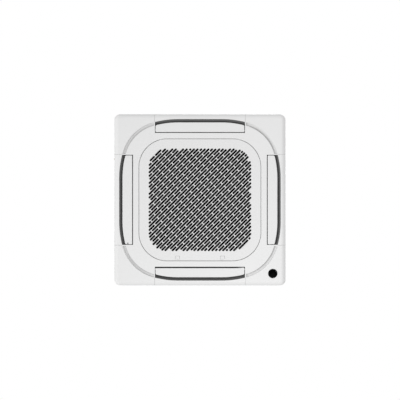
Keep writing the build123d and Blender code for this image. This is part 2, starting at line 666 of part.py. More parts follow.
def grille_slots():
    """Slots in slanting rows, each row shifted by half a slot, cut off by the rounded zone."""
    slots = []
    half_slot = (SLOT_PITCH - SLOT_BRIDGE - SLOT_W) / 2
    rows = math.ceil(SLOT_ZONE_HALF * math.sqrt(2) / ROW_PITCH)
    for row in range(-rows, rows + 1):
        across = SLOT_PHASE[1] + row * ROW_PITCH
        reach = half_chord(across, SLOT_ZONE_HALF - SLOT_W / 2, SLOT_ZONE_R - SLOT_W / 2)
        if reach is None:
            continue
        for step in range(-rows, rows + 1):
            middle = SLOT_PHASE[0] + (step + row / 2) * SLOT_PITCH
            low = max(middle - half_slot, -reach)
            high = min(middle + half_slot, reach)
            if high - low > SLOT_SHORTEST:
                slot = SlotCenterToCenter(high - low, SLOT_W)
                slots.append(Rot(0, 0, -45) * Pos((low + high) / 2, -across) * slot)
    return slots


def slotted_core(half):
    """The middle of the grille, a square plate with a hole for each slot."""
    outline = Rectangle(2 * half, 2 * half).face().outer_wire()
    holes = [slot.face().outer_wire() for slot in grille_slots()]
    return extrude(Pos(0, 0, FACE) * Face(outline, holes), GRILLE_T)


def latch_cuts(x):
    """The recess, the stem's slot and the bolt's gate of one latch."""
    half_w = LATCH_W / 2 + LATCH_GAP
    thrown = LATCH_TRAVEL + CLEAR
    cuts = block(x - half_w, x + half_w, LATCH_Y - LATCH_L / 2 - LATCH_GAP, LATCH_Y + LATCH_L / 2 + thrown,
                 FACE, FACE + LATCH_RECESS)
    stem = LATCH_STEM_W / 2 + CLEAR
    cuts += block(x - stem, x + stem, LATCH_Y - LATCH_STEM_L / 2 - CLEAR,
                  LATCH_Y + LATCH_STEM_L / 2 + thrown, FACE, FACE + GRILLE_T)
    bolt = LATCH_BOLT_W / 2 + CLEAR
    cuts += block(x - bolt, x + bolt, GRILLE_HALF - GRILLE_RIM_T, GRILLE_HALF, FACE + GRILLE_T,
                  FACE + GRILLE_T + LATCH_BOLT_T + 2 * CLEAR)
    return cuts


def suction_grille():
    outline = square(GRILLE_HALF, GRILLE_CORNER_R)
    core_half = SLOT_ZONE_HALF + GRILLE_T
    face = slab(outline, FACE, FACE + GRILLE_T)
    face = fillet(face.edges().group_by(Axis.Z)[0], GRILLE_EDGE_R)
    face -= block(-core_half, core_half, -core_half, core_half, FACE, FACE + GRILLE_T)
    inside = square(GRILLE_HALF - GRILLE_RIM_T, GRILLE_CORNER_R - GRILLE_RIM_T)
    rim = slab(outline - inside, FACE + GRILLE_T, FACE + GRILLE_RIM_H)
    ear = rod_x(HINGE_EAR_IN, GRILLE_HALF, HINGE_Y, HINGE_Z, HINGE_EAR_R)
    ear &= slab(outline, FACE + GRILLE_T, FACE + GRILLE_RIM_H)
    hole = rod_x(HINGE_PIN_IN - CLEAR, GRILLE_HALF, HINGE_Y, HINGE_Z, HINGE_PIN_R + RUNNING)
    border = face + rim + ear + mirror(ear, Plane.YZ) - hole - mirror(hole, Plane.YZ)
    border -= latch_cuts(LATCH_X) + latch_cuts(-LATCH_X)
    return border + slotted_core(core_half)


def grille_hinge_pins():
    pin = rod_x(HINGE_PIN_IN, HINGE_PIN_OUT, HINGE_Y, HINGE_Z, HINGE_PIN_R)
    return Compound(children=[pin, mirror(pin, Plane.YZ)])


def grille_latch(side):
    x = side * LATCH_X
    pad = block(x - LATCH_W / 2, x + LATCH_W / 2, LATCH_Y - LATCH_L / 2, LATCH_Y + LATCH_L / 2, FACE,
                FACE + LATCH_PAD_T)
    pad = fillet(pad.edges().filter_by(Axis.Z), LATCH_PAD_T)
    tip = GRILLE_HALF - CLEAR
    bolt_low = FACE + GRILLE_T + CLEAR / 3
    bolt = block(x - LATCH_BOLT_W / 2, x + LATCH_BOLT_W / 2, tip - LATCH_BOLT_BACK, tip, bolt_low,
                 bolt_low + LATCH_BOLT_T)
    stem = block(x - LATCH_STEM_W / 2, x + LATCH_STEM_W / 2, LATCH_Y - LATCH_STEM_L / 2,
                 LATCH_Y + LATCH_STEM_L / 2, FACE, bolt_low + LATCH_BOLT_T)
    return pad + stem + bolt


def filter_frame():
    back = FACE + GRILLE_T
    frame = slab(square(FILTER_HALF, FILTER_R), back, back + FILTER_T)
    inner = FILTER_HALF - FILTER_BORDER
    frame -= slab(square(inner, FILTER_R - FILTER_BORDER), back, back + FILTER_T)
    pitch = 2 * inner / (FILTER_BARS + 1)
    for bar in range(1, FILTER_BARS + 1):
        at = bar * pitch - inner
        low = at - FILTER_BAR_W / 2
        high = at + FILTER_BAR_W / 2
        span = inner + FILTER_BORDER / 2
        bars = block(low, high, -span, span, back + MESH_T, back + FILTER_T)
        bars += block(-span, span, low, high, back + MESH_T, back + FILTER_T)
        frame += bars & slab(square(FILTER_HALF, FILTER_R), back, back + FILTER_T)
    return frame


def filter_mesh():
    inner = FILTER_HALF - FILTER_BORDER
    back = FACE + GRILLE_T
    return slab(square(inner, FILTER_R - FILTER_BORDER), back, back + MESH_T)


# ---------------------------------------------------------------- what holds the panel to the body

def panel_seal():
    seal = octagon(PAN_CLEAR + SHEET) - square(SEAL_INNER, TROUGH_OUTER_R)
    for quarter in range(4):
        seal -= turned(outlet_shape(0, DUCT_LEAN), quarter)
    return slab(seal, DUCT_TOP, BODY_BOTTOM)


def panel_screws():
    head = rod_z(SCREW_AT, SCREW_AT, TRAY_FLOOR - SCREW_HEAD_T, TRAY_FLOOR, SCREW_HEAD_R)
    screw = head + rod_z(SCREW_AT, SCREW_AT, TRAY_FLOOR, SCREW_TOP, SCREW_R)
    return Compound(children=[turned(screw, quarter) for quarter in range(4)])


def hanger_brackets():
    half = HANGER_W / 2
    upright = block(CORNER_FACE, CORNER_FACE + HANGER_SHEET, -half, half, HANGER_LOW, HANGER_HIGH)
    foot = block(CORNER_FACE, CORNER_FACE + HANGER_FOOT_L, -HANGER_FOOT_W / 2, HANGER_FOOT_W / 2,
                 HANGER_LOW, HANGER_LOW + HANGER_SHEET)
    bracket = Rot(0, 0, 45) * (upright + foot)
    tab = field(HANGER_X - 2 * HANGER_TAB_EDGE, HANGER_X + HANGER_TAB_EDGE,
                HANGER_Y - HANGER_TAB_SIDE, HANGER_Y + HANGER_TAB_SIDE) - octagon(0)
    tab -= Pos(HANGER_X, HANGER_Y) * SlotOverall(HANGER_SLOT_L, HANGER_SLOT_W)
    bracket += slab(tab, HANGER_TAB_Z, HANGER_TAB_Z + HANGER_SHEET)
    bracket -= rod_z(SCREW_AT, SCREW_AT, HANGER_LOW, HANGER_LOW + HANGER_SHEET, SCREW_R)
    right = [bracket, mirror(bracket, Plane.XZ)]
    return Compound(children=right + [mirror(b, Plane.YZ) for b in right])


# ---------------------------------------------------------------- body

def pipe_places():
    return ((GAS_AT, GAS_R), (LIQUID_AT, LIQUID_R))


def wall_holes(clear):
    """What passes through the body's walls: pipes, the drain and the wiring inlet."""
    holes = rod_x(-BODY_HALF - 1, -LINER_INSIDE + 1, GROMMET_Y, GROMMET_Z, GROMMET_R)
    for (_, y, z), radius in pipe_places():
        holes += rod_x(-BODY_HALF - 1, -LINER_INSIDE + 1, y, z, radius + clear)
    holes += rod_y(-BODY_HALF - 1, -LINER_INSIDE + 1, DRAIN_X, DRAIN_Z, DRAIN_TUBE_R + clear)
    return holes


def service_side():
    """The room of the left wall, which is a sheet of its own, between the bends of its neighbours."""
    near = BODY_INSIDE - BODY_CUT + SHEET * (2 - math.sqrt(2))
    return block(-BODY_HALF, -BODY_INSIDE, -near, near, BODY_BOTTOM, BODY_TOP - SHEET)


def casing_left():
    return service_side() - wall_holes(PIPE_HOLE_CLEAR)


def casing_sides():
    sides = slab(octagon(0) - octagon(SHEET), BODY_BOTTOM, BODY_TOP - SHEET)
    return sides - service_side() - wall_holes(PIPE_HOLE_CLEAR)


def top_plate():
    plate = slab(octagon(0), BODY_TOP - SHEET, BODY_TOP)
    length = BEAD_OUT - BEAD_IN
    bead = slab(Pos((BEAD_IN + BEAD_OUT) / 2, 0) * SlotOverall(length, BEAD_W), BODY_TOP, BODY_TOP + BEAD_H)
    bead = chamfer(bead.edges().group_by(Axis.Z)[-1], BEAD_EDGE)
    for eighth in range(8):
        plate += Rot(0, 0, 45 * eighth) * bead
    return plate


def foam_liner():
    liner = slab(octagon(SHEET) - octagon(SHEET + LINER_T), PAN_TOP, BODY_TOP - SHEET)
    return liner - wall_holes(PIPE_HOLE_CLEAR)


def drain_pan():
    pan = slab(octagon(SHEET) - square(PAN_INNER, PAN_INNER_R), BODY_BOTTOM, PAN_TOP)
    trough = square(TROUGH_OUTER, TROUGH_OUTER_R) - square(TROUGH_INNER, TROUGH_INNER_R)
    pan -= slab(trough, PAN_FLOOR, PAN_TOP)
    pan -= slab(square(BELL_PLATE_HALF + CLEAR, BELL_PLATE_R + CLEAR), BODY_BOTTOM, BODY_BOTTOM + BELL_T)
    for quarter in range(4):
        pan -= slab(turned(outlet_shape(0, DUCT_LEAN), quarter), BODY_BOTTOM, PAN_TOP)
    return pan


def bell_mouth():
    plate = slab(square(BELL_PLATE_HALF, BELL_PLATE_R), BODY_BOTTOM, BODY_BOTTOM + BELL_T)
    plate -= rod_z(0, 0, BODY_BOTTOM, BODY_BOTTOM + BELL_T, BELL_THROAT_R + BELL_FLARE)
    outer_r = BELL_THROAT_R + BELL_FLARE
    top = BODY_BOTTOM + BELL_FLARE
    middle = (outer_r, top)

    def on_arc(radius, angle):
        return (middle[0] - radius * math.cos(angle), middle[1] - radius * math.sin(angle))

    inside = BELL_FLARE
    outside = BELL_FLARE - BELL_T
    quarter = math.pi / 2
    wall = make_face([
        ThreePointArc(on_arc(inside, 0), on_arc(inside, quarter / 2), on_arc(inside, quarter)),
        Line(on_arc(inside, quarter), on_arc(outside, quarter)),
        ThreePointArc(on_arc(outside, quarter), on_arc(outside, quarter / 2), on_arc(outside, 0)),
        Line(on_arc(outside, 0), (BELL_THROAT_R + BELL_T, top + BELL_NECK)),
        Line((BELL_THROAT_R + BELL_T, top + BELL_NECK), (BELL_THROAT_R, top + BELL_NECK)),
        Line((BELL_THROAT_R, top + BELL_NECK), on_arc(inside, 0)),
    ])
    return plate + revolve(Plane.XZ * wall, Axis.Z)


# ---------------------------------------------------------------- coil

def coil_fins():
    inner = COIL_OUTER - COIL_DEPTH
    shape = square(COIL_OUTER, COIL_OUTER_R) - square(inner, COIL_OUTER_R - COIL_DEPTH)
    shape -= field(-ROOM / 2, -COIL_OPEN, -ROOM / 2, -COIL_OPEN)
    return slab(shape, PAN_FLOOR, COIL_TOP)


def coil_bends():
    """U-bends on the coil's two open ends, except where a pipe leaves it."""
    middle = COIL_OUTER - COIL_DEPTH / 2
    pitch = (COIL_TOP - PAN_FLOOR) / BENDS
    bends = []
    for number in range(BENDS):
        height = PAN_FLOOR + (number + 0.5) * pitch
        section = Plane.XZ * Pos(BEND_R, 0) * Circle(BEND_TUBE_R)
        bend = revolve(section, Axis.Z, -180)
        bends.append(Pos(-COIL_OPEN, -middle, height) * Rot(0, 0, -90) * bend)
        if all(abs(height - place[2]) > radius + BEND_TUBE_R + CLEAR for place, radius in pipe_places()):
            bends.append(Pos(-middle, -COIL_OPEN, height) * bend)
    return Compound(children=bends)


def copper_pipe(place, radius, bend_r):
    """A copper pipe from the coil's end through the left wall into its union."""
    x, y, z = place
    start = (x, -COIL_OPEN, z)
    path = FilletPolyline(start, (x, y, z), (UNION_SPIGOT_L + UNION_STOP - PIPE_END, y, z), radius=bend_r)
    ring = Circle(radius) - Circle(radius - PIPE_T)
    return sweep(Plane(origin=start, z_dir=(0, -1, 0)) * ring, path=path)


def copper_pipes():
    return Compound(children=[copper_pipe(GAS_AT, GAS_R, PIPE_BEND_R), copper_pipe(LIQUID_AT, LIQUID_R, LIQUID_BEND_R)])


def pipe_union(place, radius, hex_r):
    """The brass union on a pipe's end: a hexagon and a plain spigot."""
    _, y, z = place
    shoulder = UNION_SPIGOT_L - PIPE_END
    hexagon = extrude(Plane.YZ.offset(shoulder) * Pos(y, z) * RegularPolygon(hex_r, 6), UNION_HEX_L)
    union = hexagon + rod_x(-PIPE_END, shoulder, y, z, radius)
    union -= rod_x(shoulder + UNION_STOP, shoulder + UNION_HEX_L, y, z, radius)
    return union - rod_x(-PIPE_END, shoulder + UNION_STOP, y, z, radius - PIPE_T)


def pipe_unions():
    return Compound(children=[pipe_union(GAS_AT, GAS_R, GAS_HEX_R), pipe_union(LIQUID_AT, LIQUID_R, LIQUID_HEX_R)])


def pipe_plate():
    """The cover plate round the pipes on the outside of the body."""
    lows = [min(place[i] - radius for place, radius in pipe_places()) - PIPE_PLATE_EDGE for i in (1, 2)]
    highs = [max(place[i] + radius for place, radius in pipe_places()) + PIPE_PLATE_EDGE for i in (1, 2)]
    plate = block(-BODY_HALF - PIPE_PLATE_T, -BODY_HALF, lows[0], highs[0], lows[1], highs[1])
    plate = fillet(plate.edges().filter_by(Axis.X), PIPE_PLATE_R)
    for (_, y, z), radius in pipe_places():
        plate -= rod_x(-BODY_HALF - PIPE_PLATE_T, -BODY_HALF, y, z, radius + PIPE_HOLE_CLEAR)
    return plate


# ---------------------------------------------------------------- fan

def fan_motor():
    motor = rod_z(0, 0, FAN_MOTOR_LOW, FAN_MOTOR_TOP, FAN_MOTOR_R)
    motor = fillet(motor.edges().group_by(Axis.Z)[0], FAN_MOTOR_EDGE_R)
    for step in range(4):
        foot = slab(Pos(FOOT_R / 2, 0) * SlotOverall(FOOT_R + FOOT_W, FOOT_W), FAN_MOTOR_TOP - FOOT_T,
                    FAN_MOTOR_TOP)
        motor += Rot(0, 0, 45 + 90 * step) * foot
    bore = rod_z(0, 0, FAN_MOTOR_LOW, FAN_MOTOR_LOW + FAN_SHAFT_IN + CLEAR, FAN_SHAFT_R + RUNNING)
    return motor - bore


def motor_isolators():
    isolator = rod_z(FOOT_R, 0, FAN_MOTOR_TOP, BODY_TOP - SHEET, ISOLATOR_R)
    return Compound(children=[Rot(0, 0, 45 + 90 * step) * isolator for step in range(4)])


def motor_shaft():
    return rod_z(0, 0, FAN_SHAFT_LOW, FAN_MOTOR_LOW + FAN_SHAFT_IN, FAN_SHAFT_R)


def fan_blade(number):
    """One backward-curved blade in plan."""
    inner = Vector(BLADE_IN_R, 0)
    outer = Vector(BLADE_OUT_R, 0).rotate(Axis.Z, -BLADE_SWEEP)
    middle = ((inner + outer) / 2).rotate(Axis.Z, BLADE_BOW)
    line = ThreePointArc(inner, middle, outer)
    return Rot(0, 0, number * 360 / FAN_BLADES) * trace(line, FAN_T)


def fan_wheel():
    dish_wall = FAN_T
    hub = make_face(Polyline(
        (FAN_SHAFT_R, FAN_BOSS_LOW), (FAN_BOSS_R, FAN_BOSS_LOW), (FAN_BOSS_R, FAN_DISH_LOW),
        (FAN_DISH_LOW_R, FAN_DISH_LOW), (FAN_DISH_R, FAN_TOP - FAN_T), (FAN_R, FAN_TOP - FAN_T),
        (FAN_R, FAN_TOP), (FAN_DISH_R - dish_wall, FAN_TOP),
        (FAN_DISH_LOW_R - dish_wall, FAN_DISH_LOW + FAN_T), (FAN_SHAFT_R, FAN_DISH_LOW + FAN_T),
        close=True))
    shroud_in = (FAN_EYE_R, FAN_SHROUD_IN)
    shroud_out = (FAN_R, FAN_SHROUD_OUT)
    knee = (FAN_EYE_R + FAN_T, FAN_SHROUD_OUT - FAN_T)
    shroud = make_face(Polyline(
        shroud_in, (FAN_EYE_R + FAN_T, FAN_SHROUD_IN), (knee[0] + FAN_T, knee[1] - 2 * FAN_T),
        (FAN_R, FAN_SHROUD_OUT - FAN_T), shroud_out, (knee[0] + FAN_T, knee[1] + FAN_T),
        (FAN_EYE_R, knee[1] - FAN_T), close=True))
    passage = make_face(Polyline(
        (BLADE_IN_R - FAN_T, knee[1]), (knee[0] + FAN_T, knee[1]), (FAN_R, FAN_SHROUD_OUT - FAN_T / 2),
        (FAN_R, FAN_TOP - FAN_T / 2), (BLADE_IN_R - FAN_T, FAN_TOP - FAN_T / 2), close=True))
    wheel = revolve(Plane.XZ * hub, Axis.Z) + revolve(Plane.XZ * shroud, Axis.Z)
    blades = fan_blade(0)
    for number in range(1, FAN_BLADES):
        blades += fan_blade(number)
    return wheel + (slab(blades, FAN_SHROUD_IN, FAN_TOP) & revolve(Plane.XZ * passage, Axis.Z))


def fan_nut():
    nut = slab(RegularPolygon(FAN_NUT_R, 6), FAN_BOSS_LOW - FAN_NUT_T, FAN_BOSS_LOW)
    return nut - rod_z(0, 0, FAN_BOSS_LOW - FAN_NUT_T, FAN_BOSS_LOW, FAN_SHAFT_R)


# ---------------------------------------------------------------- drain

def drain_pump():
    x, y = PUMP_AT
    pump = rod_z(x, y, PUMP_LOW, PUMP_TOP, PUMP_R)
    pump += rod_z(x, y, CHAMBER_TOP, PUMP_LOW, PUMP_NECK_R)
    pump += rod_z(x, y, CHAMBER_LOW, CHAMBER_TOP, CHAMBER_R)
    away = math.hypot(x, y)
    reach = CORNER_FACE - SHEET - LINER_T - CLEAR
    half = PUMP_BRACKET_W / 2
    pump += Rot(0, 0, -135) * block(away - half, reach, -half, half, PUMP_TOP, PUMP_TOP + PUMP_BRACKET_T)
    pump += Rot(0, 0, -135) * block(reach - PUMP_BRACKET_T, reach, -half, half, PUMP_TOP - half, PUMP_TOP)
    pump -= rod_z(x, y, CHAMBER_LOW + CHAMBER_FLOOR, CHAMBER_TOP - CHAMBER_ROOF, CHAMBER_BORE_R)
    pump -= rod_z(x, y, CHAMBER_LOW, CHAMBER_LOW + CHAMBER_FLOOR, INLET_R)
    pump -= rod_x(x, x + CHAMBER_R, y, (CHAMBER_LOW + CHAMBER_TOP) / 2, DRAIN_TUBE_R - DRAIN_TUBE_T)
    shaft_top = CHAMBER_TOP - CHAMBER_ROOF - IMPELLER_GAP + IMPELLER_SHAFT_L
    pump -= rod_z(x, y, CHAMBER_TOP - CHAMBER_ROOF, shaft_top + CLEAR, IMPELLER_SHAFT_R + RUNNING)
    return pump


def pump_impeller():
    x, y = PUMP_AT
    low = CHAMBER_LOW + CHAMBER_FLOOR + IMPELLER_GAP
    high = CHAMBER_TOP - CHAMBER_ROOF - IMPELLER_GAP
    wheel = rod_z(0, 0, low, high, IMPELLER_HUB_R)
    for number in range(IMPELLER_VANES):
        vane = block(0, IMPELLER_R, -VANE_T / 2, VANE_T / 2, low, high)
        wheel += Rot(0, 0, number * 360 / IMPELLER_VANES) * vane
    return Pos(x, y) * (wheel + rod_z(0, 0, high, high + IMPELLER_SHAFT_L, IMPELLER_SHAFT_R))


def float_switch():
    x, y = FLOAT_AT
    px, py = PUMP_AT
    stem = rod_z(x, y, FLOAT_STEM_LOW, FLOAT_ARM_Z, FLOAT_STEM_R)
    high_stop = FLOAT_STEM_LOW + FLOAT_STOP_T + FLOAT_RING_H + FLOAT_TRAVEL + CLEAR
    for low in (FLOAT_STEM_LOW, high_stop):
        stem += rod_z(x, y, low, low + FLOAT_STOP_T, FLOAT_STOP_R)
    angle = math.degrees(math.atan2(py - y, px - x))
    length = math.hypot(px - x, py - y)
    half = FLOAT_ARM_W / 2
    arm = block(-half, length, -half, half, FLOAT_ARM_Z, FLOAT_ARM_Z + FLOAT_ARM_T)
    switch = stem + Pos(x, y) * Rot(0, 0, angle) * arm
    return switch - rod_z(px, py, PUMP_LOW, PUMP_TOP, PUMP_R)


def float_ring():
    x, y = FLOAT_AT
    low = FLOAT_STEM_LOW + FLOAT_STOP_T
    ring = rod_z(x, y, low, low + FLOAT_RING_H, FLOAT_RING_R)
    return ring - rod_z(x, y, low, low + FLOAT_RING_H, FLOAT_STEM_R + 2 * RUNNING)


def drain_tube():
    """From the pump's chamber up and out through the back wall."""
    x, y = PUMP_AT
    level = (CHAMBER_LOW + CHAMBER_TOP) / 2
    start = (x + CHAMBER_R, y, level)
    path = FilletPolyline(start, (DRAIN_X, y, level), (DRAIN_X, y, DRAIN_Z),
                          (DRAIN_X, -BODY_HALF - SOCKET_GRIP, DRAIN_Z), radius=DRAIN_BEND_R)
    ring = Circle(DRAIN_TUBE_R) - Circle(DRAIN_TUBE_R - DRAIN_TUBE_T)
    return sweep(Plane(origin=start, z_dir=(1, 0, 0)) * ring, path=path)


def drain_socket():
    outside = BODY_HALF
    flange = block(DRAIN_X - SOCKET_FLANGE / 2, DRAIN_X + SOCKET_FLANGE / 2, -outside - SOCKET_FLANGE_T, -outside,
                   DRAIN_Z - SOCKET_FLANGE / 2, DRAIN_Z + SOCKET_FLANGE / 2)
    flange = fillet(flange.edges().filter_by(Axis.Y), SOCKET_FLANGE_R)
    socket = flange + rod_y(-outside - SOCKET_L, -outside, DRAIN_X, DRAIN_Z, SOCKET_R)
    socket -= rod_y(-outside - SOCKET_L, -outside - SOCKET_GRIP, DRAIN_X, DRAIN_Z, SOCKET_BORE_R)
    return socket - rod_y(-outside - SOCKET_GRIP, -outside, DRAIN_X, DRAIN_Z, DRAIN_TUBE_R)


# ---------------------------------------------------------------- wiring

def cable_grommet():
    outside = -BODY_HALF
    ring = rod_x(outside, outside + SHEET + LINER_T, GROMMET_Y, GROMMET_Z, GROMMET_R)
    ring += rod_x(outside - GROMMET_LIP_T, outside, GROMMET_Y, GROMMET_Z, GROMMET_LIP_R)
    return ring - rod_x(outside - GROMMET_LIP_T, outside + SHEET + LINER_T, GROMMET_Y, GROMMET_Z, GROMMET_BORE_R)


def standoff_places():
    low, high = BOX_X
    edge = BOARD_EDGE + STANDOFF_R
    return [(x, y) for x in (low + edge, high - edge) for y in (edge - BOX_HALF_Y, BOX_HALF_Y - edge)]


def control_box():
    low, high = BOX_X
    box = block(low, high, -BOX_HALF_Y, BOX_HALF_Y, BOX_LOW, BODY_BOTTOM)
    box -= block(low + SHEET, high - SHEET, SHEET - BOX_HALF_Y, BOX_HALF_Y - SHEET, BOX_LOW, BODY_BOTTOM - SHEET)
    roof = BODY_BOTTOM - SHEET
    for x, y in standoff_places():
        box += rod_z(x, y, roof - STANDOFF_H, roof, STANDOFF_R)
    return box


def control_cover():
    low, high = BOX_X
    cover = block(low, high, -BOX_HALF_Y, BOX_HALF_Y, BOX_LOW - SHEET, BOX_LOW)
    return fillet(cover.edges().filter_by(Axis.Z), STANDOFF_R)


def control_board():
    low, high = BOX_X
    half = BOX_HALF_Y - BOARD_EDGE
    top = BODY_BOTTOM - SHEET - STANDOFF_H
    under = top - BOARD_T
    board = block(low + BOARD_EDGE, high - BOARD_EDGE, -half, half, under, top)
    middle = (low + high) / 2
    for x, y in CAN_AT:
        board += rod_z(middle + x, y, under - CAN_H, under, CAN_R)
    for (x0, x1, y0, y1), height in ((COIL_BLOCK, COIL_BLOCK_H), (CHIP, CHIP_H)):
        board += block(middle + x0, middle + x1, y0, y1, under - height, under)
    for step in range(PLUGS):
        at = (step + 1) * PLUG_PITCH - half
        board += block(middle + PLUG_ROW[0], middle + PLUG_ROW[1], at, at + PLUG_W, under - PLUG_H, under)
    return board


# ---------------------------------------------------------------- the whole unit

def corner_covers():
    return {f"corner_cover_{name}": corner_cover(quarter) for quarter, name in enumerate(CORNERS)}


def sided(name, maker):
    """One node for each side of the unit, from a maker that takes the side's number."""
    return {f"{name}_{side}": maker(quarter) for quarter, side in enumerate(SIDES)}


def all_parts():
    parts = {"panel_frame": panel_frame()}
    parts |= corner_covers()
    parts |= sided("outlet_duct", outlet_duct)
    parts |= sided("flap", flap)
    parts |= sided("flap_shaft", flap_shaft)
    parts |= sided("flap_motor", flap_motor)
    parts |= {
        "flap_bushes": flap_bushes(),
        "sensor_bezel": sensor_bezel(),
        "sensor_lens": sensor_lens(),
        "sensor_board": sensor_board(),
        "suction_grille": suction_grille(),
        "grille_hinge_pins": grille_hinge_pins(),
        "grille_latch_left": grille_latch(-1),
        "grille_latch_right": grille_latch(1),
        "filter_frame": filter_frame(),
        "filter_mesh": filter_mesh(),
        "panel_seal": panel_seal(),
        "panel_screws": panel_screws(),
        "hanger_brackets": hanger_brackets(),
        "casing_left": casing_left(),
        "casing_sides": casing_sides(),
        "top_plate": top_plate(),
        "foam_liner": foam_liner(),
        "drain_pan": drain_pan(),
        "bell_mouth": bell_mouth(),
        "coil_fins": coil_fins(),
        "coil_bends": coil_bends(),
        "copper_pipes": copper_pipes(),
        "pipe_unions": pipe_unions(),
        "pipe_plate": pipe_plate(),
        "fan_motor": fan_motor(),
        "motor_isolators": motor_isolators(),
        "motor_shaft": motor_shaft(),
        "fan_wheel": fan_wheel(),
        "fan_nut": fan_nut(),
        "drain_pump": drain_pump(),
        "pump_impeller": pump_impeller(),
        "float_switch": float_switch(),
        "float_ring": float_ring(),
        "drain_tube": drain_tube(),
        "drain_socket": drain_socket(),
        "cable_grommet": cable_grommet(),
        "control_box": control_box(),
        "control_cover": control_cover(),
        "control_board": control_board(),
    }
    return parts


os.makedirs("parts", exist_ok=True)
for node, shape in all_parts().items():
    export_step(shape, f"parts/{node}.step")
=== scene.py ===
"""Finishes, small fasteners and studio for the ceiling cassette.

Everything is in metres. z = 0 is the underside of the ceiling, the room is below it,
+X is to the right and +Y towards the latches as seen from the room.
"""

import math

import bmesh
import bpy
from mathutils import Matrix, Vector


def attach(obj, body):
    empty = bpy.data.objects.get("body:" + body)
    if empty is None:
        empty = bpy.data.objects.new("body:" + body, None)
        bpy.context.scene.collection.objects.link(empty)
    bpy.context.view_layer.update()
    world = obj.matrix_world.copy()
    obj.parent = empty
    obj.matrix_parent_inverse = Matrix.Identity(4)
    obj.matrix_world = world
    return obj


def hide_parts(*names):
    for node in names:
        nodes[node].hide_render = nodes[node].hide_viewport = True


# ---------------------------------------------------------------- measures

FACE = -0.040                # the panel's face
BEHIND = FACE + 0.0004       # what lies above this is behind the face
QUARTER_TURN = math.pi / 2
SMOOTH_UNDER = 35            # degrees under which faces shade as one
LOOKS_UP = 0.9               # height of a face's normal from which it is a top

BODY_HALF = 0.420            # half the side of the sheet body
BODY_CUT = 0.130             # corners cut off it
BODY_TOP = 0.254
CORNER_FACE = (2 * BODY_HALF - BODY_CUT) / math.sqrt(2)   # its cut corners, from the middle

COIL_HALF = 0.335            # outer face of the coil
COIL_DEPTH = 0.044
COIL_R = 0.080
COIL_OPEN = 0.205            # the coil stops here at the pipe corner
COIL_LOW = 0.028
COIL_TOP = 0.215
FIN_PITCH = 0.0021
FIN_T = 0.00025
FIN_SHORT = 0.0004           # a fin is this much shorter than the coil is deep
FIN_FLATS = 8                # flats in a fin's rippled face

FILTER_HALF = 0.286          # the net, inside the filter's border
FILTER_R = 0.088
NET_AT = FACE + 0.0037       # middle of the net's thickness
NET_T = 0.0003
NET_STEPS = 60               # faces along one side of the net
NET_FIELDS = 5               # fields between the filter's bars, along one side
NET_DIP = 0.00035            # the net hangs this far into a field

SEAL_EDGE = 0.0009           # soft edge of the cut foam
SEAL_EDGE_STEPS = 3
SEAL_SHARP = 50              # degrees from which an edge of it is softened
SEAL_FLAT = 2                # degrees under which its faces are one
SEAL_WELD = 0.00001          # points closer than this are one

SCREW_SIDES = 24             # flats round a screw's head

# sheet-metal screw: a flange with a hexagonal head
FLANGE_R = 0.0056
FLANGE_T = 0.0008
FLANGE_STEP = (0.0012, 0.0002)   # inset of its raised middle, and how far that rises
HEX_R = 0.0043
HEX_H = 0.0020
HEX_MIDDLE = 0.0018              # height of its middle
HEX_EDGE = 0.0004
HEX_DISH = (0.0011, -0.0006)     # inset of the dish in its top, and its depth
EDGE_SCREWS_ALONG = (-0.24, 0.24)
TOP_SCREW_IN = 0.012             # the top's screws, in from the body's side
SIDE_SCREW_DOWN = 0.014          # the sides' screws, down from the top
BRACKET_T = 0.0025
BRACKET_SCREWS_ALONG = (-0.029, 0.029)
BRACKET_SCREWS_UP = (0.030, 0.110, 0.178)
PIPE_PLATE_T = 0.002
PIPE_PLATE_SCREWS = [(y, z) for y in (-0.2192, -0.274) for z in (0.121, 0.186)]
DRAIN_FLANGE_T = 0.004
DRAIN_FLANGE_SCREWS = [(x, z) for z in (0.1325, 0.1675) for x in (-0.2755, -0.2405)]

# cover screw: a dome with a slot
DOME_R = 0.0036
DOME_H = 0.0017
DOME_EDGE = 0.0009
SLOT_BAR = (0.0038, 0.0008, 0.0018)   # length, width and height of what cuts the slot
COVER_FACE = -0.0212              # face of the control box's cover
COVER_SCREWS = [(x, y) for x in (-0.3185, -0.2245) for y in (-0.1435, 0.1435)]
BELL_LOW = 0.008                  # the bell mouth's flat border, seen from below
BELL_EDGE = 0.286                 # its screws, out from the middle
BELL_SCREWS_ALONG = (-0.19, 0.19)

# painted shade in the corner channels
ARC_AT = 0.198               # middle of each channel's arc, in x and y
ARC_SHADE_FROM = 0.2187       # the painted shade starts just short of the channel's inner edge
ARC_SHADE_W = 0.013
ARC_SHADE_AMOUNT = 0.5

# grime along the seams of the corner covers
SEAM_AT = 0.2508             # the seams, in x or y
SEAM_START = 0.4295          # they run outwards from here
SEAM_GRIME_HALF = 0.0009
SEAM_GRIME_FADE = 0.0004

# dust and painted shade on the bars between the slots
SLOT_ZONE = 0.284            # half the side of the slotted area
SLOT_ZONE_R = 0.098
BAR_DUST_AND_SHADE_FADE = 0.004

# painted shade in the gaps beside the latches' knobs
LATCH_AT = (0.1245, 0.319)   # middle of each latch, in x and y
LATCH_GAP = (0.0109, 0.0124)     # both sides of the gap, from that middle
LATCH_SHADE_END = 0.0092
LATCH_SHADE_FADE = 0.0022
LATCH_SHADE_MOST = 0.9

# painted shadow on the front flap's lip, and painted shade in the left flap's dimple
LIP_SHADOW = (0.3693, 0.3782)  # from here to here in y
LIP_SHADOW_FADE = 0.0012
LIP_SHADOW_END = 0.240         # it thins out up to here in x
LIP_SHADOW_THIN = 0.035
DIMPLE_AT = (-0.3985, 0.240, FACE)
DIMPLE_SHADE_R = 0.0054
DIMPLE_SHADE_FADE = 0.0028
DIMPLE_SHADE_AMOUNT = 0.8

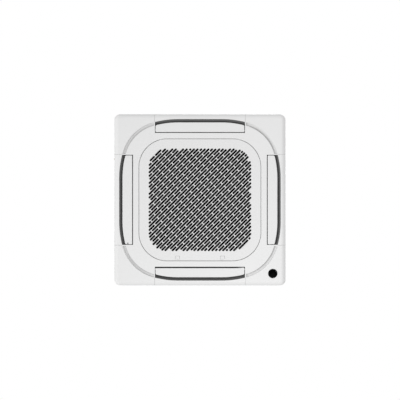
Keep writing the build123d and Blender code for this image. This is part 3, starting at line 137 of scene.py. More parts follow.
# studio; the camera looks straight up from the room, as in the photograph
CAMERA_AT = (0.0003, 0.0010, -5.04)
CAMERA_LENS = 81.5
CAMERA_SENSOR = 36
FLOOR_SIDE = 9
FLOOR_AT = (0, 0, -5.4)
FLOOR_GLOW = 0.52            # brings the floor to white for the camera alone
AMBIENT = 0.56               # strength of the light from all around
LAMPS = {                    # place, aim, side and power
    "front_lamp": ((0.6, 1.3, -3.2), (0, 0, 0), 1.6, 27),
    "top_lamp": ((0.9, -1.6, 3.0), (0, 0, 0.1), 2.6, 46),
}
SUNS = {                     # the way to it from the unit, strength, and its width in degrees
    "side_sun": ((-1.0, 0.25, -0.75), 1.25, 20),
    "far_sun": ((1.0, -1.0, -0.35), 0.4, 30),
}

# ---------------------------------------------------------------- colours

WHITE_LIGHT = (1, 1, 1, 1)
# grime, and the colour of the painted shade in recesses, channels, gaps and on the grille's bars
GRIME_AND_SHADE = (0.055, 0.052, 0.048, 1)
DUST = (0.42, 0.40, 0.37, 1)
# colour of the painted shadow on the front flap's lip and the painted shade in the dimple
PAINTED_SHADOW_BLACK = (0.012, 0.012, 0.012, 1)
ZINC = (0.42, 0.43, 0.44, 1)
BRACKET_ZINC = (0.34, 0.35, 0.36, 1)
SCREW_ZINC = (0.58, 0.58, 0.56, 1)
SHAFT_STEEL = (0.52, 0.52, 0.53, 1)
MOTOR_STEEL = (0.46, 0.47, 0.48, 1)
ALUMINIUM = (0.90, 0.91, 0.92, 1)
COPPER = (0.78, 0.36, 0.22, 1)
OLD_COPPER = (0.34, 0.15, 0.09, 1)
BRASS = (0.72, 0.53, 0.24, 1)
OLD_BRASS = (0.46, 0.31, 0.12, 1)
LACQUER = ((0.010, 0.075, 0.026, 1), (0.014, 0.092, 0.032, 1))
TRACK = (0.030, 0.170, 0.060, 1)
TIN = (0.50, 0.50, 0.47, 1)
BEZEL_BLACK = (0.0016, 0.0016, 0.0018, 1)
LENS_BLACK = (0.0010, 0.0010, 0.0012, 1)
FILTER_BLACK = (0.0030, 0.0030, 0.0033, 1)
RUBBER_BLACK = (0.016, 0.016, 0.017, 1)
# the net's holes: painted shade of the dark inside seen through them
NET_HOLE_SHADE = (0.0008, 0.0008, 0.0009, 1)
NET_THREAD = (0.0035, 0.0035, 0.0038, 1)

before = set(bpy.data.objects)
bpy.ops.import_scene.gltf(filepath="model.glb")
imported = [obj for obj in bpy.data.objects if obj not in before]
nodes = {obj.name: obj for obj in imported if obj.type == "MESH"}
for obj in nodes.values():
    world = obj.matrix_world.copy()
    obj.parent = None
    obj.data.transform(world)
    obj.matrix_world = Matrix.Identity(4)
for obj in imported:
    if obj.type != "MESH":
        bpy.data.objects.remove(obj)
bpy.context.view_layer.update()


# ---------------------------------------------------------------- node helpers

def grey(level):
    """A neutral screen grey from 0 to 255, as the linear colour that shaders take."""
    c = level / 255
    c = c / 12.92 if c <= 0.04045 else ((c + 0.055) / 1.055) ** 2.4
    return (c, c, c, 1)


def add(tree, kind, **settings):
    made = tree.nodes.new(kind)
    for name, value in settings.items():
        setattr(made, name, value)
    return made


def feed(tree, socket, value):
    """Feeds a socket from another socket, a number or a colour."""
    if isinstance(value, bpy.types.NodeSocket):
        tree.links.new(value, socket)
    else:
        socket.default_value = value


def new_group(name, inputs, outputs):
    """An empty shader group. Returns its tree, its inputs' sockets and its outputs' sockets."""
    tree = bpy.data.node_groups.new(name, "ShaderNodeTree")
    for socket, kind, value in inputs:
        made = tree.interface.new_socket(name=socket, in_out="INPUT", socket_type=kind)
        made.default_value = value
    for socket, kind in outputs:
        tree.interface.new_socket(name=socket, in_out="OUTPUT", socket_type=kind)
    given, out = add(tree, "NodeGroupInput"), add(tree, "NodeGroupOutput")
    return tree, given.outputs, out.inputs


def maths(tree, operation, a, b=None, clamp=False):
    """A Math node fed by sockets or numbers. Returns its output."""
    made = add(tree, "ShaderNodeMath", operation=operation, use_clamp=clamp)
    feed(tree, made.inputs[0], a)
    if b is not None:
        feed(tree, made.inputs[1], b)
    return made.outputs[0]


def product(tree, first, *others, clamp=False):
    """Factors multiplied together."""
    for other in others[:-1]:
        first = maths(tree, "MULTIPLY", first, other)
    return maths(tree, "MULTIPLY", first, others[-1], clamp=clamp)


def swing(tree, value, amount):
    """A value from 0 to 1 made to swing about 0 by an amount."""
    return product(tree, maths(tree, "SUBTRACT", value, 0.5), amount)


def off_by(tree, value, middle):
    """How far a value is from a middle, either way."""
    return maths(tree, "ABSOLUTE", maths(tree, "SUBTRACT", value, middle))


def fading(tree, value, edge, width):
    """1 where a value is well under an edge, falling to 0 at the edge over a width."""
    return maths(tree, "DIVIDE", maths(tree, "SUBTRACT", edge, value), width, clamp=True)


def noise(tree, vector, scale, detail=3.0, rough=0.55):
    made = add(tree, "ShaderNodeTexNoise")
    made.inputs["Detail"].default_value = detail
    made.inputs["Roughness"].default_value = rough
    feed(tree, made.inputs["Vector"], vector)
    feed(tree, made.inputs["Scale"], scale)
    return made.outputs["Fac"]


def cells(tree, place, scale, scatter=1.0):
    """Random cells. Returns the node, with its Distance and Color outputs."""
    made = add(tree, "ShaderNodeTexVoronoi", feature="F1")
    made.inputs["Randomness"].default_value = scatter
    feed(tree, made.inputs["Vector"], place)
    feed(tree, made.inputs["Scale"], scale)
    return made


def times(tree, colour, factor):
    """A colour made lighter or darker by a factor."""
    made = add(tree, "ShaderNodeVectorMath", operation="SCALE")
    feed(tree, made.inputs[0], colour)
    feed(tree, made.inputs["Scale"], factor)
    return made.outputs[0]


def between(tree, factor, a, b):
    """A colour between two, by a factor from 0 to 1."""
    made = add(tree, "ShaderNodeMix", data_type="RGBA")
    for socket, value in ((0, factor), (6, a), (7, b)):
        feed(tree, made.inputs[socket], value)
    return made.outputs[2]


def object_place(tree, stretched=(1, 1, 1)):
    """The place on the object, stretched or not."""
    where = add(tree, "ShaderNodeTexCoord")
    stretch = add(tree, "ShaderNodeMapping")
    stretch.inputs["Scale"].default_value = stretched
    feed(tree, stretch.inputs["Vector"], where.outputs["Object"])
    return stretch.outputs["Vector"]


def x_y_z(tree, vector):
    """The X, Y and Z sockets of a vector."""
    parts = add(tree, "ShaderNodeSeparateXYZ")
    feed(tree, parts.inputs[0], vector)
    return [parts.outputs[axis] for axis in "XYZ"]


def distances(tree, vector):
    """A vector's X and Y without their signs, and its Z."""
    x, y, z = x_y_z(tree, vector)
    return maths(tree, "ABSOLUTE", x), maths(tree, "ABSOLUTE", y), z


def blotches(tree, scale, amount, least, detail=4.0, rough=0.55):
    """A patchy strength, from its least upwards."""
    patch = noise(tree, object_place(tree), scale, detail, rough)
    return maths(tree, "ADD", product(tree, patch, amount), least)


# ---------------------------------------------------------------- shared effects

def moulded_grain():
    """The fine eroded texture of a mould, with a slow ripple under it."""
    tree, given, out = new_group(
        "moulded_grain",
        [("Scale", "NodeSocketFloat", 1400.0), ("Ripple", "NodeSocketFloat", 0.3)],
        [("Height", "NodeSocketFloat"), ("Patch", "NodeSocketFloat")])
    place = object_place(tree)
    fine = noise(tree, place, given["Scale"], detail=2.0, rough=0.6)
    slow = noise(tree, place, scale=9.0, detail=2.0)
    feed(tree, out["Height"], maths(tree, "ADD", fine, product(tree, slow, given["Ripple"])))
    feed(tree, out["Patch"], slow)
    return tree


def tone_drift():
    """A colour that drifts slightly over the piece, as moulded or rolled stock does."""
    tree, given, out = new_group(
        "tone_drift",
        [("Color", "NodeSocketColor", (0.8, 0.8, 0.8, 1)), ("Amount", "NodeSocketFloat", 0.05),
         ("Scale", "NodeSocketFloat", 6.0)],
        [("Color", "NodeSocketColor")])
    patch = noise(tree, object_place(tree), given["Scale"], detail=4.0)
    factor = maths(tree, "ADD", swing(tree, patch, given["Amount"]), 1.0)
    feed(tree, out["Color"], times(tree, given["Color"], factor))
    return tree


def settled_dust():
    """A little dust on faces that look up."""
    tree, given, out = new_group(
        "settled_dust",
        [("Color", "NodeSocketColor", (0.5, 0.5, 0.5, 1)), ("Dust", "NodeSocketColor", DUST),
         ("Amount", "NodeSocketFloat", 0.4)],
        [("Color", "NodeSocketColor"), ("Mask", "NodeSocketFloat")])
    steepest = 0.4   # height of the normal from which dust stays
    normal = add(tree, "ShaderNodeNewGeometry").outputs["Normal"]
    up = maths(tree, "SUBTRACT", x_y_z(tree, normal)[2], steepest, clamp=True)
    patch = noise(tree, object_place(tree), scale=14.0, detail=6.0, rough=0.7)
    mask = product(tree, up, patch, given["Amount"], clamp=True)
    feed(tree, out["Color"], between(tree, mask, given["Color"], given["Dust"]))
    feed(tree, out["Mask"], mask)
    return tree


def recess_shade():
    """Painted shade that thickens behind the face, from Start on, full after Depth and gone at End.

    Reach is how far from the middle it goes.
    """
    tree, given, out = new_group(
        "recess_shade",
        [("Start", "NodeSocketFloat", 0.0004), ("Depth", "NodeSocketFloat", 0.003),
         ("End", "NodeSocketFloat", 0.004), ("Reach", "NodeSocketFloat", 0.446),
         ("Amount", "NodeSocketFloat", 0.6)],
        [("Mask", "NodeSocketFloat")])
    fade = 0.0012    # width over which the painted shade ends at its reach
    x, y, z = distances(tree, object_place(tree))
    behind = maths(tree, "SUBTRACT", maths(tree, "SUBTRACT", z, FACE), given["Start"])
    behind = maths(tree, "DIVIDE", behind, given["Depth"], clamp=True)
    near = fading(tree, maths(tree, "MAXIMUM", x, y), given["Reach"], fade)
    shallow = maths(tree, "LESS_THAN", z, maths(tree, "ADD", given["End"], FACE))
    patchy = blotches(tree, scale=60.0, amount=0.8, least=0.6, detail=5.0, rough=0.65)
    mask = product(tree, behind, near, shallow, patchy, given["Amount"], clamp=True)
    feed(tree, out["Mask"], mask)
    return tree


def rounded_square():
    """How far a place lies inside a rounded square about the middle; less than 0 is outside."""
    tree, given, out = new_group(
        "rounded_square",
        [("Half", "NodeSocketFloat", 0.28), ("Corner", "NodeSocketFloat", 0.09)],
        [("Inside", "NodeSocketFloat")])
    flat = maths(tree, "SUBTRACT", given["Half"], given["Corner"])
    x, y, _ = distances(tree, object_place(tree))
    past = [maths(tree, "SUBTRACT", side, flat) for side in (x, y)]
    over = [maths(tree, "MAXIMUM", side, 0.0) for side in past]
    round_part = maths(tree, "SQRT", maths(tree, "ADD", *[product(tree, o, o) for o in over]))
    flat_part = maths(tree, "MINIMUM", maths(tree, "MAXIMUM", *past), 0.0)
    reach = maths(tree, "ADD", round_part, flat_part)
    feed(tree, out["Inside"], maths(tree, "SUBTRACT", given["Corner"], reach))
    return tree


def zinc_spangle():
    """Crystals of a hot-dipped zinc coat: flat cells of slightly different brightness."""
    tree, given, out = new_group(
        "zinc_spangle",
        [("Color", "NodeSocketColor", (0.6, 0.6, 0.6, 1)), ("Scale", "NodeSocketFloat", 90.0),
         ("Contrast", "NodeSocketFloat", 0.25)],
        [("Color", "NodeSocketColor"), ("Roughness", "NodeSocketFloat"),
         ("Height", "NodeSocketFloat")])
    place = object_place(tree)
    tint = add(tree, "ShaderNodeSeparateColor")
    feed(tree, tint.inputs[0], cells(tree, place, given["Scale"]).outputs["Color"])
    crystals = swing(tree, tint.outputs[0], given["Contrast"])
    drift = swing(tree, noise(tree, place, scale=5.0), amount=0.10)
    factor = maths(tree, "ADD", maths(tree, "ADD", crystals, drift), 1.0)
    feed(tree, out["Color"], times(tree, given["Color"], factor))
    smoothest, spread = 0.42, 0.12
    rough = maths(tree, "ADD", product(tree, tint.outputs[1], spread), smoothest)
    feed(tree, out["Roughness"], rough)
    feed(tree, out["Height"], noise(tree, place, scale=700.0, detail=2.0))
    return tree


def drawn_lines():
    """Fine lines left by drawing, rolling or turning, along one direction."""
    tree, given, out = new_group(
        "drawn_lines",
        [("Across", "NodeSocketVector", (900.0, 900.0, 12.0)),
         ("Color", "NodeSocketColor", (0.6, 0.6, 0.6, 1)), ("Amount", "NodeSocketFloat", 0.15)],
        [("Color", "NodeSocketColor"), ("Height", "NodeSocketFloat"),
         ("Roughness", "NodeSocketFloat")])
    stretch = add(tree, "ShaderNodeVectorMath", operation="MULTIPLY")
    feed(tree, stretch.inputs[0], add(tree, "ShaderNodeTexCoord").outputs["Object"])
    feed(tree, stretch.inputs[1], given["Across"])
    lines = noise(tree, stretch.outputs[0], scale=1.0, rough=0.6)
    factor = maths(tree, "ADD", swing(tree, lines, given["Amount"]), 1.0)
    feed(tree, out["Color"], times(tree, given["Color"], factor))
    feed(tree, out["Height"], lines)
    smoothest, spread = 0.22, 0.2
    rough = maths(tree, "ADD", product(tree, lines, spread), smoothest)
    feed(tree, out["Roughness"], rough)
    return tree


def foam_beads():
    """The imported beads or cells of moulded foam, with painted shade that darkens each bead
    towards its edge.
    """
    tree, given, out = new_group(
        "foam_beads",
        [("Color", "NodeSocketColor", (0.8, 0.8, 0.8, 1)), ("Scale", "NodeSocketFloat", 320.0)],
        [("Color", "NodeSocketColor"), ("Height", "NodeSocketFloat")])
    away = cells(tree, object_place(tree), given["Scale"]).outputs["Distance"]
    middle, fall = 1.05, 0.28    # a bead's brightness, and how much it loses outwards as painted shade
    shade = maths(tree, "SUBTRACT", middle, product(tree, away, fall))
    feed(tree, out["Color"], times(tree, given["Color"], shade))
    feed(tree, out["Height"], product(tree, away, -1.0))
    return tree


def net_weave():
    """Square mesh of fine threads: Thread is 1 on a thread and 0 in a hole."""
    tree, given, out = new_group(
        "net_weave", [("Pitch", "NodeSocketFloat", 0.0016)],
        [("Thread", "NodeSocketFloat"), ("Height", "NodeSocketFloat")])
    place = add(tree, "ShaderNodeTexCoord").outputs["Object"]
    waves = []
    for side in x_y_z(tree, place)[:2]:
        turns = maths(tree, "DIVIDE", side, given["Pitch"])
        waves.append(maths(tree, "COSINE", product(tree, turns, 2 * math.pi)))
    height = maths(tree, "MAXIMUM", *waves)
    hole, steep = 0.35, 4.0      # height of a thread's edge, and how sharp it is
    thread = product(tree, maths(tree, "SUBTRACT", height, hole), steep, clamp=True)
    feed(tree, out["Height"], height)
    feed(tree, out["Thread"], thread)
    return tree


EFFECTS = {make.__name__: make() for make in (
    moulded_grain, tone_drift, settled_dust, recess_shade, rounded_square, zinc_spangle,
    drawn_lines, foam_beads, net_weave)}


def use(tree, effect, **values):
    """Places a shared effect in a material, with its values as numbers, colours or sockets."""
    made = add(tree, "ShaderNodeGroup", node_tree=EFFECTS[effect])
    for name, value in values.items():
        feed(tree, made.inputs[name], value)
    return made.outputs


def material(name, **shader_values):
    """A new material with one Principled shader. Returns the material, its tree and the shader."""
    made = bpy.data.materials.new(name)
    made.use_nodes = True
    shader = made.node_tree.nodes["Principled BSDF"]
    for socket, value in shader_values.items():
        shader.inputs[socket.replace("_", " ")].default_value = value
    return made, made.node_tree, shader


def bump(tree, shader, height, strength, depth):
    made = add(tree, "ShaderNodeBump")
    made.inputs["Strength"].default_value = strength
    made.inputs["Distance"].default_value = depth
    feed(tree, made.inputs["Height"], height)
    feed(tree, shader.inputs["Normal"], made.outputs["Normal"])


def vary_roughness(tree, shader, source, low, high):
    spread = add(tree, "ShaderNodeMapRange")
    spread.inputs["To Min"].default_value = low
    spread.inputs["To Max"].default_value = high
    feed(tree, spread.inputs["Value"], source)
    feed(tree, shader.inputs["Roughness"], spread.outputs["Result"])


# ---------------------------------------------------------------- finishes

def moulding(name, colour, rough, grain=1400.0, depth=0.00004, drift=0.03, shade_in_recesses=None, marks=None,
             mark_colour=GRIME_AND_SHADE, **shader_values):
    """A moulded plastic: a slow drift of tone, the mould's grain, and gloss that varies by patch.

    The values for its low places set the painted shade there, and marks is a
    function that makes one more mask.
    """
    made, tree, shader = material(name, **shader_values)
    shade = use(tree, "tone_drift", Color=colour, Amount=drift, Scale=7.0)["Color"]
    # painted shade in the low places behind the face
    if shade_in_recesses:
        shade = between(tree, use(tree, "recess_shade", **shade_in_recesses)["Mask"], shade, GRIME_AND_SHADE)
    if marks:
        shade = between(tree, marks(tree), shade, mark_colour)
    feed(tree, shader.inputs["Base Color"], shade)
    texture = use(tree, "moulded_grain", Scale=grain)
    bump(tree, shader, texture["Height"], strength=0.25, depth=depth)
    vary_roughness(tree, shader, texture["Patch"], low=rough - 0.05, high=rough + 0.07)
    return made


def zinc_sheet(name, colour, scale=120.0, contrast=0.11, dust=0.3):
    """Hot-dipped steel sheet."""
    made, tree, shader = material(name, Metallic=1.0)
    coat = use(tree, "zinc_spangle", Color=colour, Scale=scale, Contrast=contrast)
    film = use(tree, "settled_dust", Color=coat["Color"], Amount=dust)
    feed(tree, shader.inputs["Base Color"], film["Color"])
    feed(tree, shader.inputs["Roughness"], maths(tree, "ADD", coat["Roughness"], film["Mask"]))
    bump(tree, shader, coat["Height"], strength=0.12, depth=0.00005)
    return made


def drawn_metal(name, colour, across, amount=0.18):
    """A drawn, rolled or turned metal; across gives how close its lines lie in each direction."""
    made, tree, shader = material(name, Metallic=1.0)
    lines = use(tree, "drawn_lines", Across=across, Color=colour, Amount=amount)
    tone = use(tree, "tone_drift", Color=lines["Color"], Amount=0.16, Scale=30.0)
    feed(tree, shader.inputs["Base Color"], tone["Color"])
    feed(tree, shader.inputs["Roughness"], lines["Roughness"])
    bump(tree, shader, lines["Height"], strength=0.2, depth=0.00003)
    return made


def foam(name, colour, scale, rough=0.92):
    """Moulded or cut foam."""
    made, tree, shader = material(name, Roughness=rough)
    beads = use(tree, "foam_beads", Color=colour, Scale=scale)
    tone = use(tree, "tone_drift", Color=beads["Color"], Amount=0.08, Scale=12.0)
    feed(tree, shader.inputs["Base Color"], tone["Color"])
    bump(tree, shader, beads["Height"], strength=0.5, depth=0.0006)
    return made


def tarnished(name, bright, dull, rough):
    """Copper or brass with darker patches where it was handled and heated."""
    dark_from, steep = 0.38, 3.2     # level where the dark begins, and how sharp its edge is
    made, tree, shader = material(name, Metallic=1.0)
    patch = noise(tree, object_place(tree), scale=46.0, detail=6.0, rough=0.65)
    worn = product(tree, maths(tree, "SUBTRACT", patch, dark_from), steep, clamp=True)
    feed(tree, shader.inputs["Base Color"], between(tree, worn, bright, dull))
    vary_roughness(tree, shader, patch, low=rough, high=rough + 0.28)
    lines = noise(tree, object_place(tree, stretched=(600, 40, 600)), scale=1.0, detail=2.0)
    bump(tree, shader, lines, strength=0.15, depth=0.00004)
    return made


def dark_net():
    """The filter's woven net: black threads, over holes painted darker as painted shade of the dark
    inside seen through them.
    """
    made, tree, shader = material("filter_net_weave", Roughness=0.75, Specular_IOR_Level=0.03)
    weave = use(tree, "net_weave", Pitch=0.0016)
    shade = between(tree, weave["Thread"], NET_HOLE_SHADE, NET_THREAD)
    feed(tree, shader.inputs["Base Color"], shade)
    bump(tree, shader, weave["Height"], strength=0.4, depth=0.0002)
    return made


def circuit_board():
    """Green lacquer with lighter copper tracks under it and tinned pads."""
    pad_reach = 0.22    # of the way from a pad's middle to the next
    made, tree, shader = material("board_green", Roughness=0.32)
    place = object_place(tree)
    tracks = add(tree, "ShaderNodeTexBrick")
    for socket, value in (("Vector", place), ("Color1", LACQUER[0]), ("Color2", LACQUER[1]),
                          ("Mortar", TRACK), ("Mortar Size", 0.045), ("Scale", 190.0)):
        feed(tree, tracks.inputs[socket], value)
    away = cells(tree, place, scale=260.0, scatter=0.55).outputs["Distance"]
    tinned = maths(tree, "LESS_THAN", away, pad_reach)
    feed(tree, shader.inputs["Base Color"], between(tree, tinned, tracks.outputs["Color"], TIN))
    feed(tree, shader.inputs["Metallic"], tinned)
    bump(tree, shader, tinned, strength=0.5, depth=0.0002)
    return made


# ---------------------------------------------------------------- painted shade, grime and dust on the white pieces

def channel_shade(tree):
    """Painted shade: a grey line along the inner side of each corner channel, strongest halfway
    round its arc.
    """
    x, y, z = distances(tree, object_place(tree))
    past = [maths(tree, "MAXIMUM", maths(tree, "SUBTRACT", side, ARC_AT), 0.0) for side in (x, y)]
    squared = maths(tree, "ADD", *[product(tree, p, p) for p in past])
    out = maths(tree, "SUBTRACT", maths(tree, "SQRT", squared), ARC_SHADE_FROM)
    near = fading(tree, out, ARC_SHADE_W, ARC_SHADE_W)
    on_arc = maths(tree, "GREATER_THAN", out, 0.0)
    behind = maths(tree, "GREATER_THAN", z, BEHIND)
    around = maths(tree, "DIVIDE", product(tree, *past), squared)   # 0.5 halfway round
    fade = product(tree, around, 2.0, clamp=True)
    patchy = blotches(tree, scale=22.0, amount=0.6, least=0.5)
    return product(tree, near, on_arc, behind, patchy, fade, ARC_SHADE_AMOUNT, clamp=True)


def seam_grime(tree):
    """A fine line of grime along the seams between the outlet strips and the corner covers."""
    x, y, _ = distances(tree, object_place(tree))
    lines = []
    for over, past in ((x, y), (y, x)):
        line = fading(tree, off_by(tree, over, SEAM_AT), SEAM_GRIME_HALF, SEAM_GRIME_FADE)
        lines.append(product(tree, line, maths(tree, "GREATER_THAN", past, SEAM_START)))
    patchy = blotches(tree, scale=30.0, amount=0.8, least=0.05)
    return product(tree, maths(tree, "MAXIMUM", *lines), patchy, clamp=True)


# painted shade in the corner channels, and grime along the seams
def panel_shade_and_grime(tree):
    return maths(tree, "MAXIMUM", channel_shade(tree), seam_grime(tree))


def bar_dust_and_shade(tree):
    """The film of dust that the intake leaves on the bars between the slots, with painted shade
    that greys them too.
    """
    zone = use(tree, "rounded_square", Half=SLOT_ZONE, Corner=SLOT_ZONE_R)
    inside = maths(tree, "DIVIDE", zone["Inside"], BAR_DUST_AND_SHADE_FADE, clamp=True)
    return product(tree, inside, blotches(tree, scale=90.0, amount=0.10, least=0.02, rough=0.6))


def latch_gap_shade(tree):
    """Painted shade in the narrow gaps at the two sides of each latch's knob."""
    x, y, z = x_y_z(tree, object_place(tree))
    off = off_by(tree, maths(tree, "ABSOLUTE", x), LATCH_AT[0])
    past_knob = maths(tree, "GREATER_THAN", off, LATCH_GAP[0])
    in_gap = maths(tree, "LESS_THAN", off, LATCH_GAP[1])
    behind = maths(tree, "GREATER_THAN", z, BEHIND)
    along = fading(tree, off_by(tree, y, LATCH_AT[1]), LATCH_SHADE_END, LATCH_SHADE_FADE)
    patchy = blotches(tree, scale=150.0, amount=0.5, least=0.55)
    mask = product(tree, past_knob, in_gap, behind, along, patchy)
    return maths(tree, "MINIMUM", mask, LATCH_SHADE_MOST)


# dust and painted shade on the bars, and painted shade in the latches' gaps
def grille_shade_and_dust(tree):
    return maths(tree, "MAXIMUM", bar_dust_and_shade(tree), latch_gap_shade(tree))


def lip_shadow(tree):
    """Painted shadow: a dark line along the front flap's inner lip, which thins out near its right
    end.
    """
    x, y, _ = x_y_z(tree, object_place(tree))
    from_here = maths(tree, "GREATER_THAN", y, LIP_SHADOW[0])
    to_here = fading(tree, y, LIP_SHADOW[1], LIP_SHADOW_FADE)
    along = fading(tree, x, LIP_SHADOW_END, LIP_SHADOW_THIN)
    patchy = blotches(tree, scale=40.0, amount=0.2, least=0.88)
    return product(tree, from_here, to_here, along, patchy, clamp=True)


def dimple_shade(tree):
    """Painted shade: a dark spot in and round the left flap's dimple."""
    away = add(tree, "ShaderNodeVectorMath", operation="DISTANCE")
    feed(tree, away.inputs[0], add(tree, "ShaderNodeTexCoord").outputs["Object"])
    feed(tree, away.inputs[1], DIMPLE_AT)
    spot = fading(tree, away.outputs["Value"], DIMPLE_SHADE_R, DIMPLE_SHADE_FADE)
    return product(tree, spot, DIMPLE_SHADE_AMOUNT)


# painted shadow on the front flap's lip and painted shade in the left flap's dimple
def flap_shade(tree):
    return maths(tree, "MAXIMUM", dimple_shade(tree), lip_shadow(tree))


# ---------------------------------------------------------------- table of finishes

FINISHES = {
    "panel": moulding("panel_white", grey(231), rough=0.42, drift=0.012, marks=panel_shade_and_grime,
                      shade_in_recesses={"Start": 0.001, "Depth": 0.012, "End": 0.0072, "Reach": 0.446,
                            "Amount": 0.22}),
    "flap": moulding("flap_white", grey(230), rough=0.44, drift=0.012, marks=flap_shade,
                     mark_colour=PAINTED_SHADOW_BLACK),
    "grille": moulding("grille_white", grey(229), rough=0.46, drift=0.012, marks=grille_shade_and_dust,
                       shade_in_recesses={"Start": 0.0002, "Depth": 0.0024, "End": 0.0029, "Reach": 0.3274,
                             "Amount": 0.85}),
    "duct": moulding("duct_grey", grey(102), rough=0.7, grain=900.0, drift=0.06),
    "bezel": moulding("bezel_black", BEZEL_BLACK, rough=0.34, drift=0.1, Specular_IOR_Level=0.03),
    "lens": moulding("lens_smoke", LENS_BLACK, rough=0.16, grain=300.0, depth=0.00001, drift=0.1,
                     Specular_IOR_Level=0.012),
    "filter_frame": moulding("filter_black", FILTER_BLACK, rough=0.6, drift=0.1,
                             Specular_IOR_Level=0.05),
    "bell": moulding("bell_grey", grey(70), rough=0.5, drift=0.06),
    "pan": foam("pan_foam", grey(236), scale=260.0),
    "liner": foam("liner_foam", grey(226), scale=260.0),
    "seal": foam("seal_foam", grey(52), scale=900.0),
    "sheet": zinc_sheet("sheet_zinc", ZINC),
    "top": zinc_sheet("top_zinc", ZINC, dust=0.45),
    "bracket": zinc_sheet("bracket_zinc", BRACKET_ZINC, scale=170.0, contrast=0.09, dust=0.2),
    "screw": drawn_metal("screw_zinc", SCREW_ZINC, across=(300.0, 300.0, 300.0), amount=0.2),
    "shaft": drawn_metal("shaft_steel", SHAFT_STEEL, across=(1500.0, 1500.0, 14.0)),
    "motor": drawn_metal("motor_steel", MOTOR_STEEL, across=(40.0, 40.0, 1600.0), amount=0.12),
    "fin": drawn_metal("fin_aluminium", ALUMINIUM, across=(30.0, 30.0, 900.0), amount=0.1),
    "copper": tarnished("copper_tube", COPPER, OLD_COPPER, rough=0.24),
    "brass": tarnished("brass_union", BRASS, OLD_BRASS, rough=0.22),
    "fan": moulding("fan_grey", grey(96), rough=0.48, drift=0.05),
    "rubber": moulding("rubber_black", RUBBER_BLACK, rough=0.78, grain=500.0, depth=0.0001,
                       drift=0.2),
    "bush": moulding("bush_natural", grey(206), rough=0.4, drift=0.04),
    "pump": moulding("pump_white", grey(214), rough=0.45, drift=0.05),
    "float": foam("float_foam", grey(44), scale=700.0, rough=0.85),
    "tube": moulding("tube_clear", grey(190), rough=0.28, grain=300.0, depth=0.00002, drift=0.05,
                     Subsurface_Weight=0.2),
    "drain": moulding("drain_plastic", grey(62), rough=0.5, drift=0.05),
    "box": moulding("box_ivory", grey(204), rough=0.5, drift=0.04),
    "board": circuit_board(),
    "net": dark_net(),
}

NODE_FINISH = {
    "panel_frame": "panel", "corner_cover_front_right": "panel", "corner_cover_front_left": "panel",
    "corner_cover_back_left": "panel", "corner_cover_back_right": "panel",
    "suction_grille": "grille", "grille_latch_left": "grille", "grille_latch_right": "grille",
    "grille_hinge_pins": "shaft", "filter_frame": "filter_frame", "filter_mesh": "net",
    "sensor_bezel": "bezel", "sensor_lens": "lens", "sensor_board": "board",
    "panel_seal": "seal", "panel_screws": "screw", "hanger_brackets": "bracket",
    "casing_left": "sheet", "casing_sides": "sheet", "top_plate": "top", "foam_liner": "liner",
    "drain_pan": "pan", "bell_mouth": "bell", "coil_fins": "fin", "coil_bends": "copper",
    "copper_pipes": "copper", "pipe_unions": "brass", "pipe_plate": "bracket",
    "fan_motor": "motor", "motor_isolators": "rubber", "motor_shaft": "shaft", "fan_wheel": "fan",
    "fan_nut": "screw", "drain_pump": "pump", "pump_impeller": "fan", "float_switch": "pump",
    "float_ring": "float", "drain_tube": "tube", "drain_socket": "drain", "cable_grommet": "rubber",
    "control_box": "box", "control_cover": "box", "control_board": "board", "flap_bushes": "bush",
}
for side_name in ("front", "left", "back", "right"):
    NODE_FINISH["flap_" + side_name] = "flap"
    NODE_FINISH["outlet_duct_" + side_name] = "duct"
    NODE_FINISH["flap_shaft_" + side_name] = "shaft"
    NODE_FINISH["flap_motor_" + side_name] = "pump"


def finish_nodes():
    for name, piece in nodes.items():
        for slot in piece.material_slots:
            slot.material = FINISHES[NODE_FINISH[name]]


# ---------------------------------------------------------------- modelling helpers

def select_only(*objects):
    bpy.ops.object.select_all(action="DESELECT")
    for o in objects:
        o.select_set(True)
    bpy.context.view_layer.objects.active = objects[0]


def place_in_mesh(piece):
    select_only(piece)
    bpy.ops.object.transform_apply(location=True, rotation=True, scale=True)


def pick_top(piece):
    """In edit mode, picks the faces that look up."""
    bm = bmesh.from_edit_mesh(piece.data)
    bpy.ops.mesh.select_mode(type="FACE")
    for face in bm.faces:
        face.select_set(face.normal.z > LOOKS_UP)
    bm.select_flush_mode()
    bmesh.update_edit_mesh(piece.data)


def step_top(inset, rise):
    """In edit mode, steps the middle of the picked face up, or down if the rise is negative."""
    bpy.ops.mesh.inset(thickness=inset, depth=0.0)
    bpy.ops.mesh.extrude_region_move(TRANSFORM_OT_translate={"value": (0, 0, rise)})


def cylinder_to_edit(sides, radius, height, middle):
    """A standing cylinder, left in edit mode with its top face picked."""
    bpy.ops.mesh.primitive_cylinder_add(vertices=sides, radius=radius, depth=height,
                                        location=(0, 0, middle))
    made = bpy.context.object
    bpy.ops.object.mode_set(mode="EDIT")
    pick_top(made)
    return made


def thicken(piece, thickness):
    """Makes a sheet this thick, half to each side."""
    wall = piece.modifiers.new("wall", "SOLIDIFY")
    wall.thickness = thickness
    wall.offset = 0
    select_only(piece)
    bpy.ops.object.modifier_apply(modifier="wall")


def finish_piece(piece, name, finish, body):
    piece.name = name
    piece.data.name = name
    piece.data.materials.clear()
    piece.data.materials.append(FINISHES[finish])
    select_only(piece)
    bpy.ops.object.shade_smooth_by_angle(angle=math.radians(SMOOTH_UNDER))
    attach(piece, body)


def copies(pattern, places):
    """Copies a modelled pattern to each place, as one piece; the pattern itself is removed."""
    made = []
    for place in places:
        copy = pattern.copy()
        copy.data = pattern.data.copy()
        copy.data.transform(place)
        bpy.context.scene.collection.objects.link(copy)
        made.append(copy)
    bpy.data.objects.remove(pattern)
    select_only(*made)
    bpy.ops.object.join()
    return made[0]


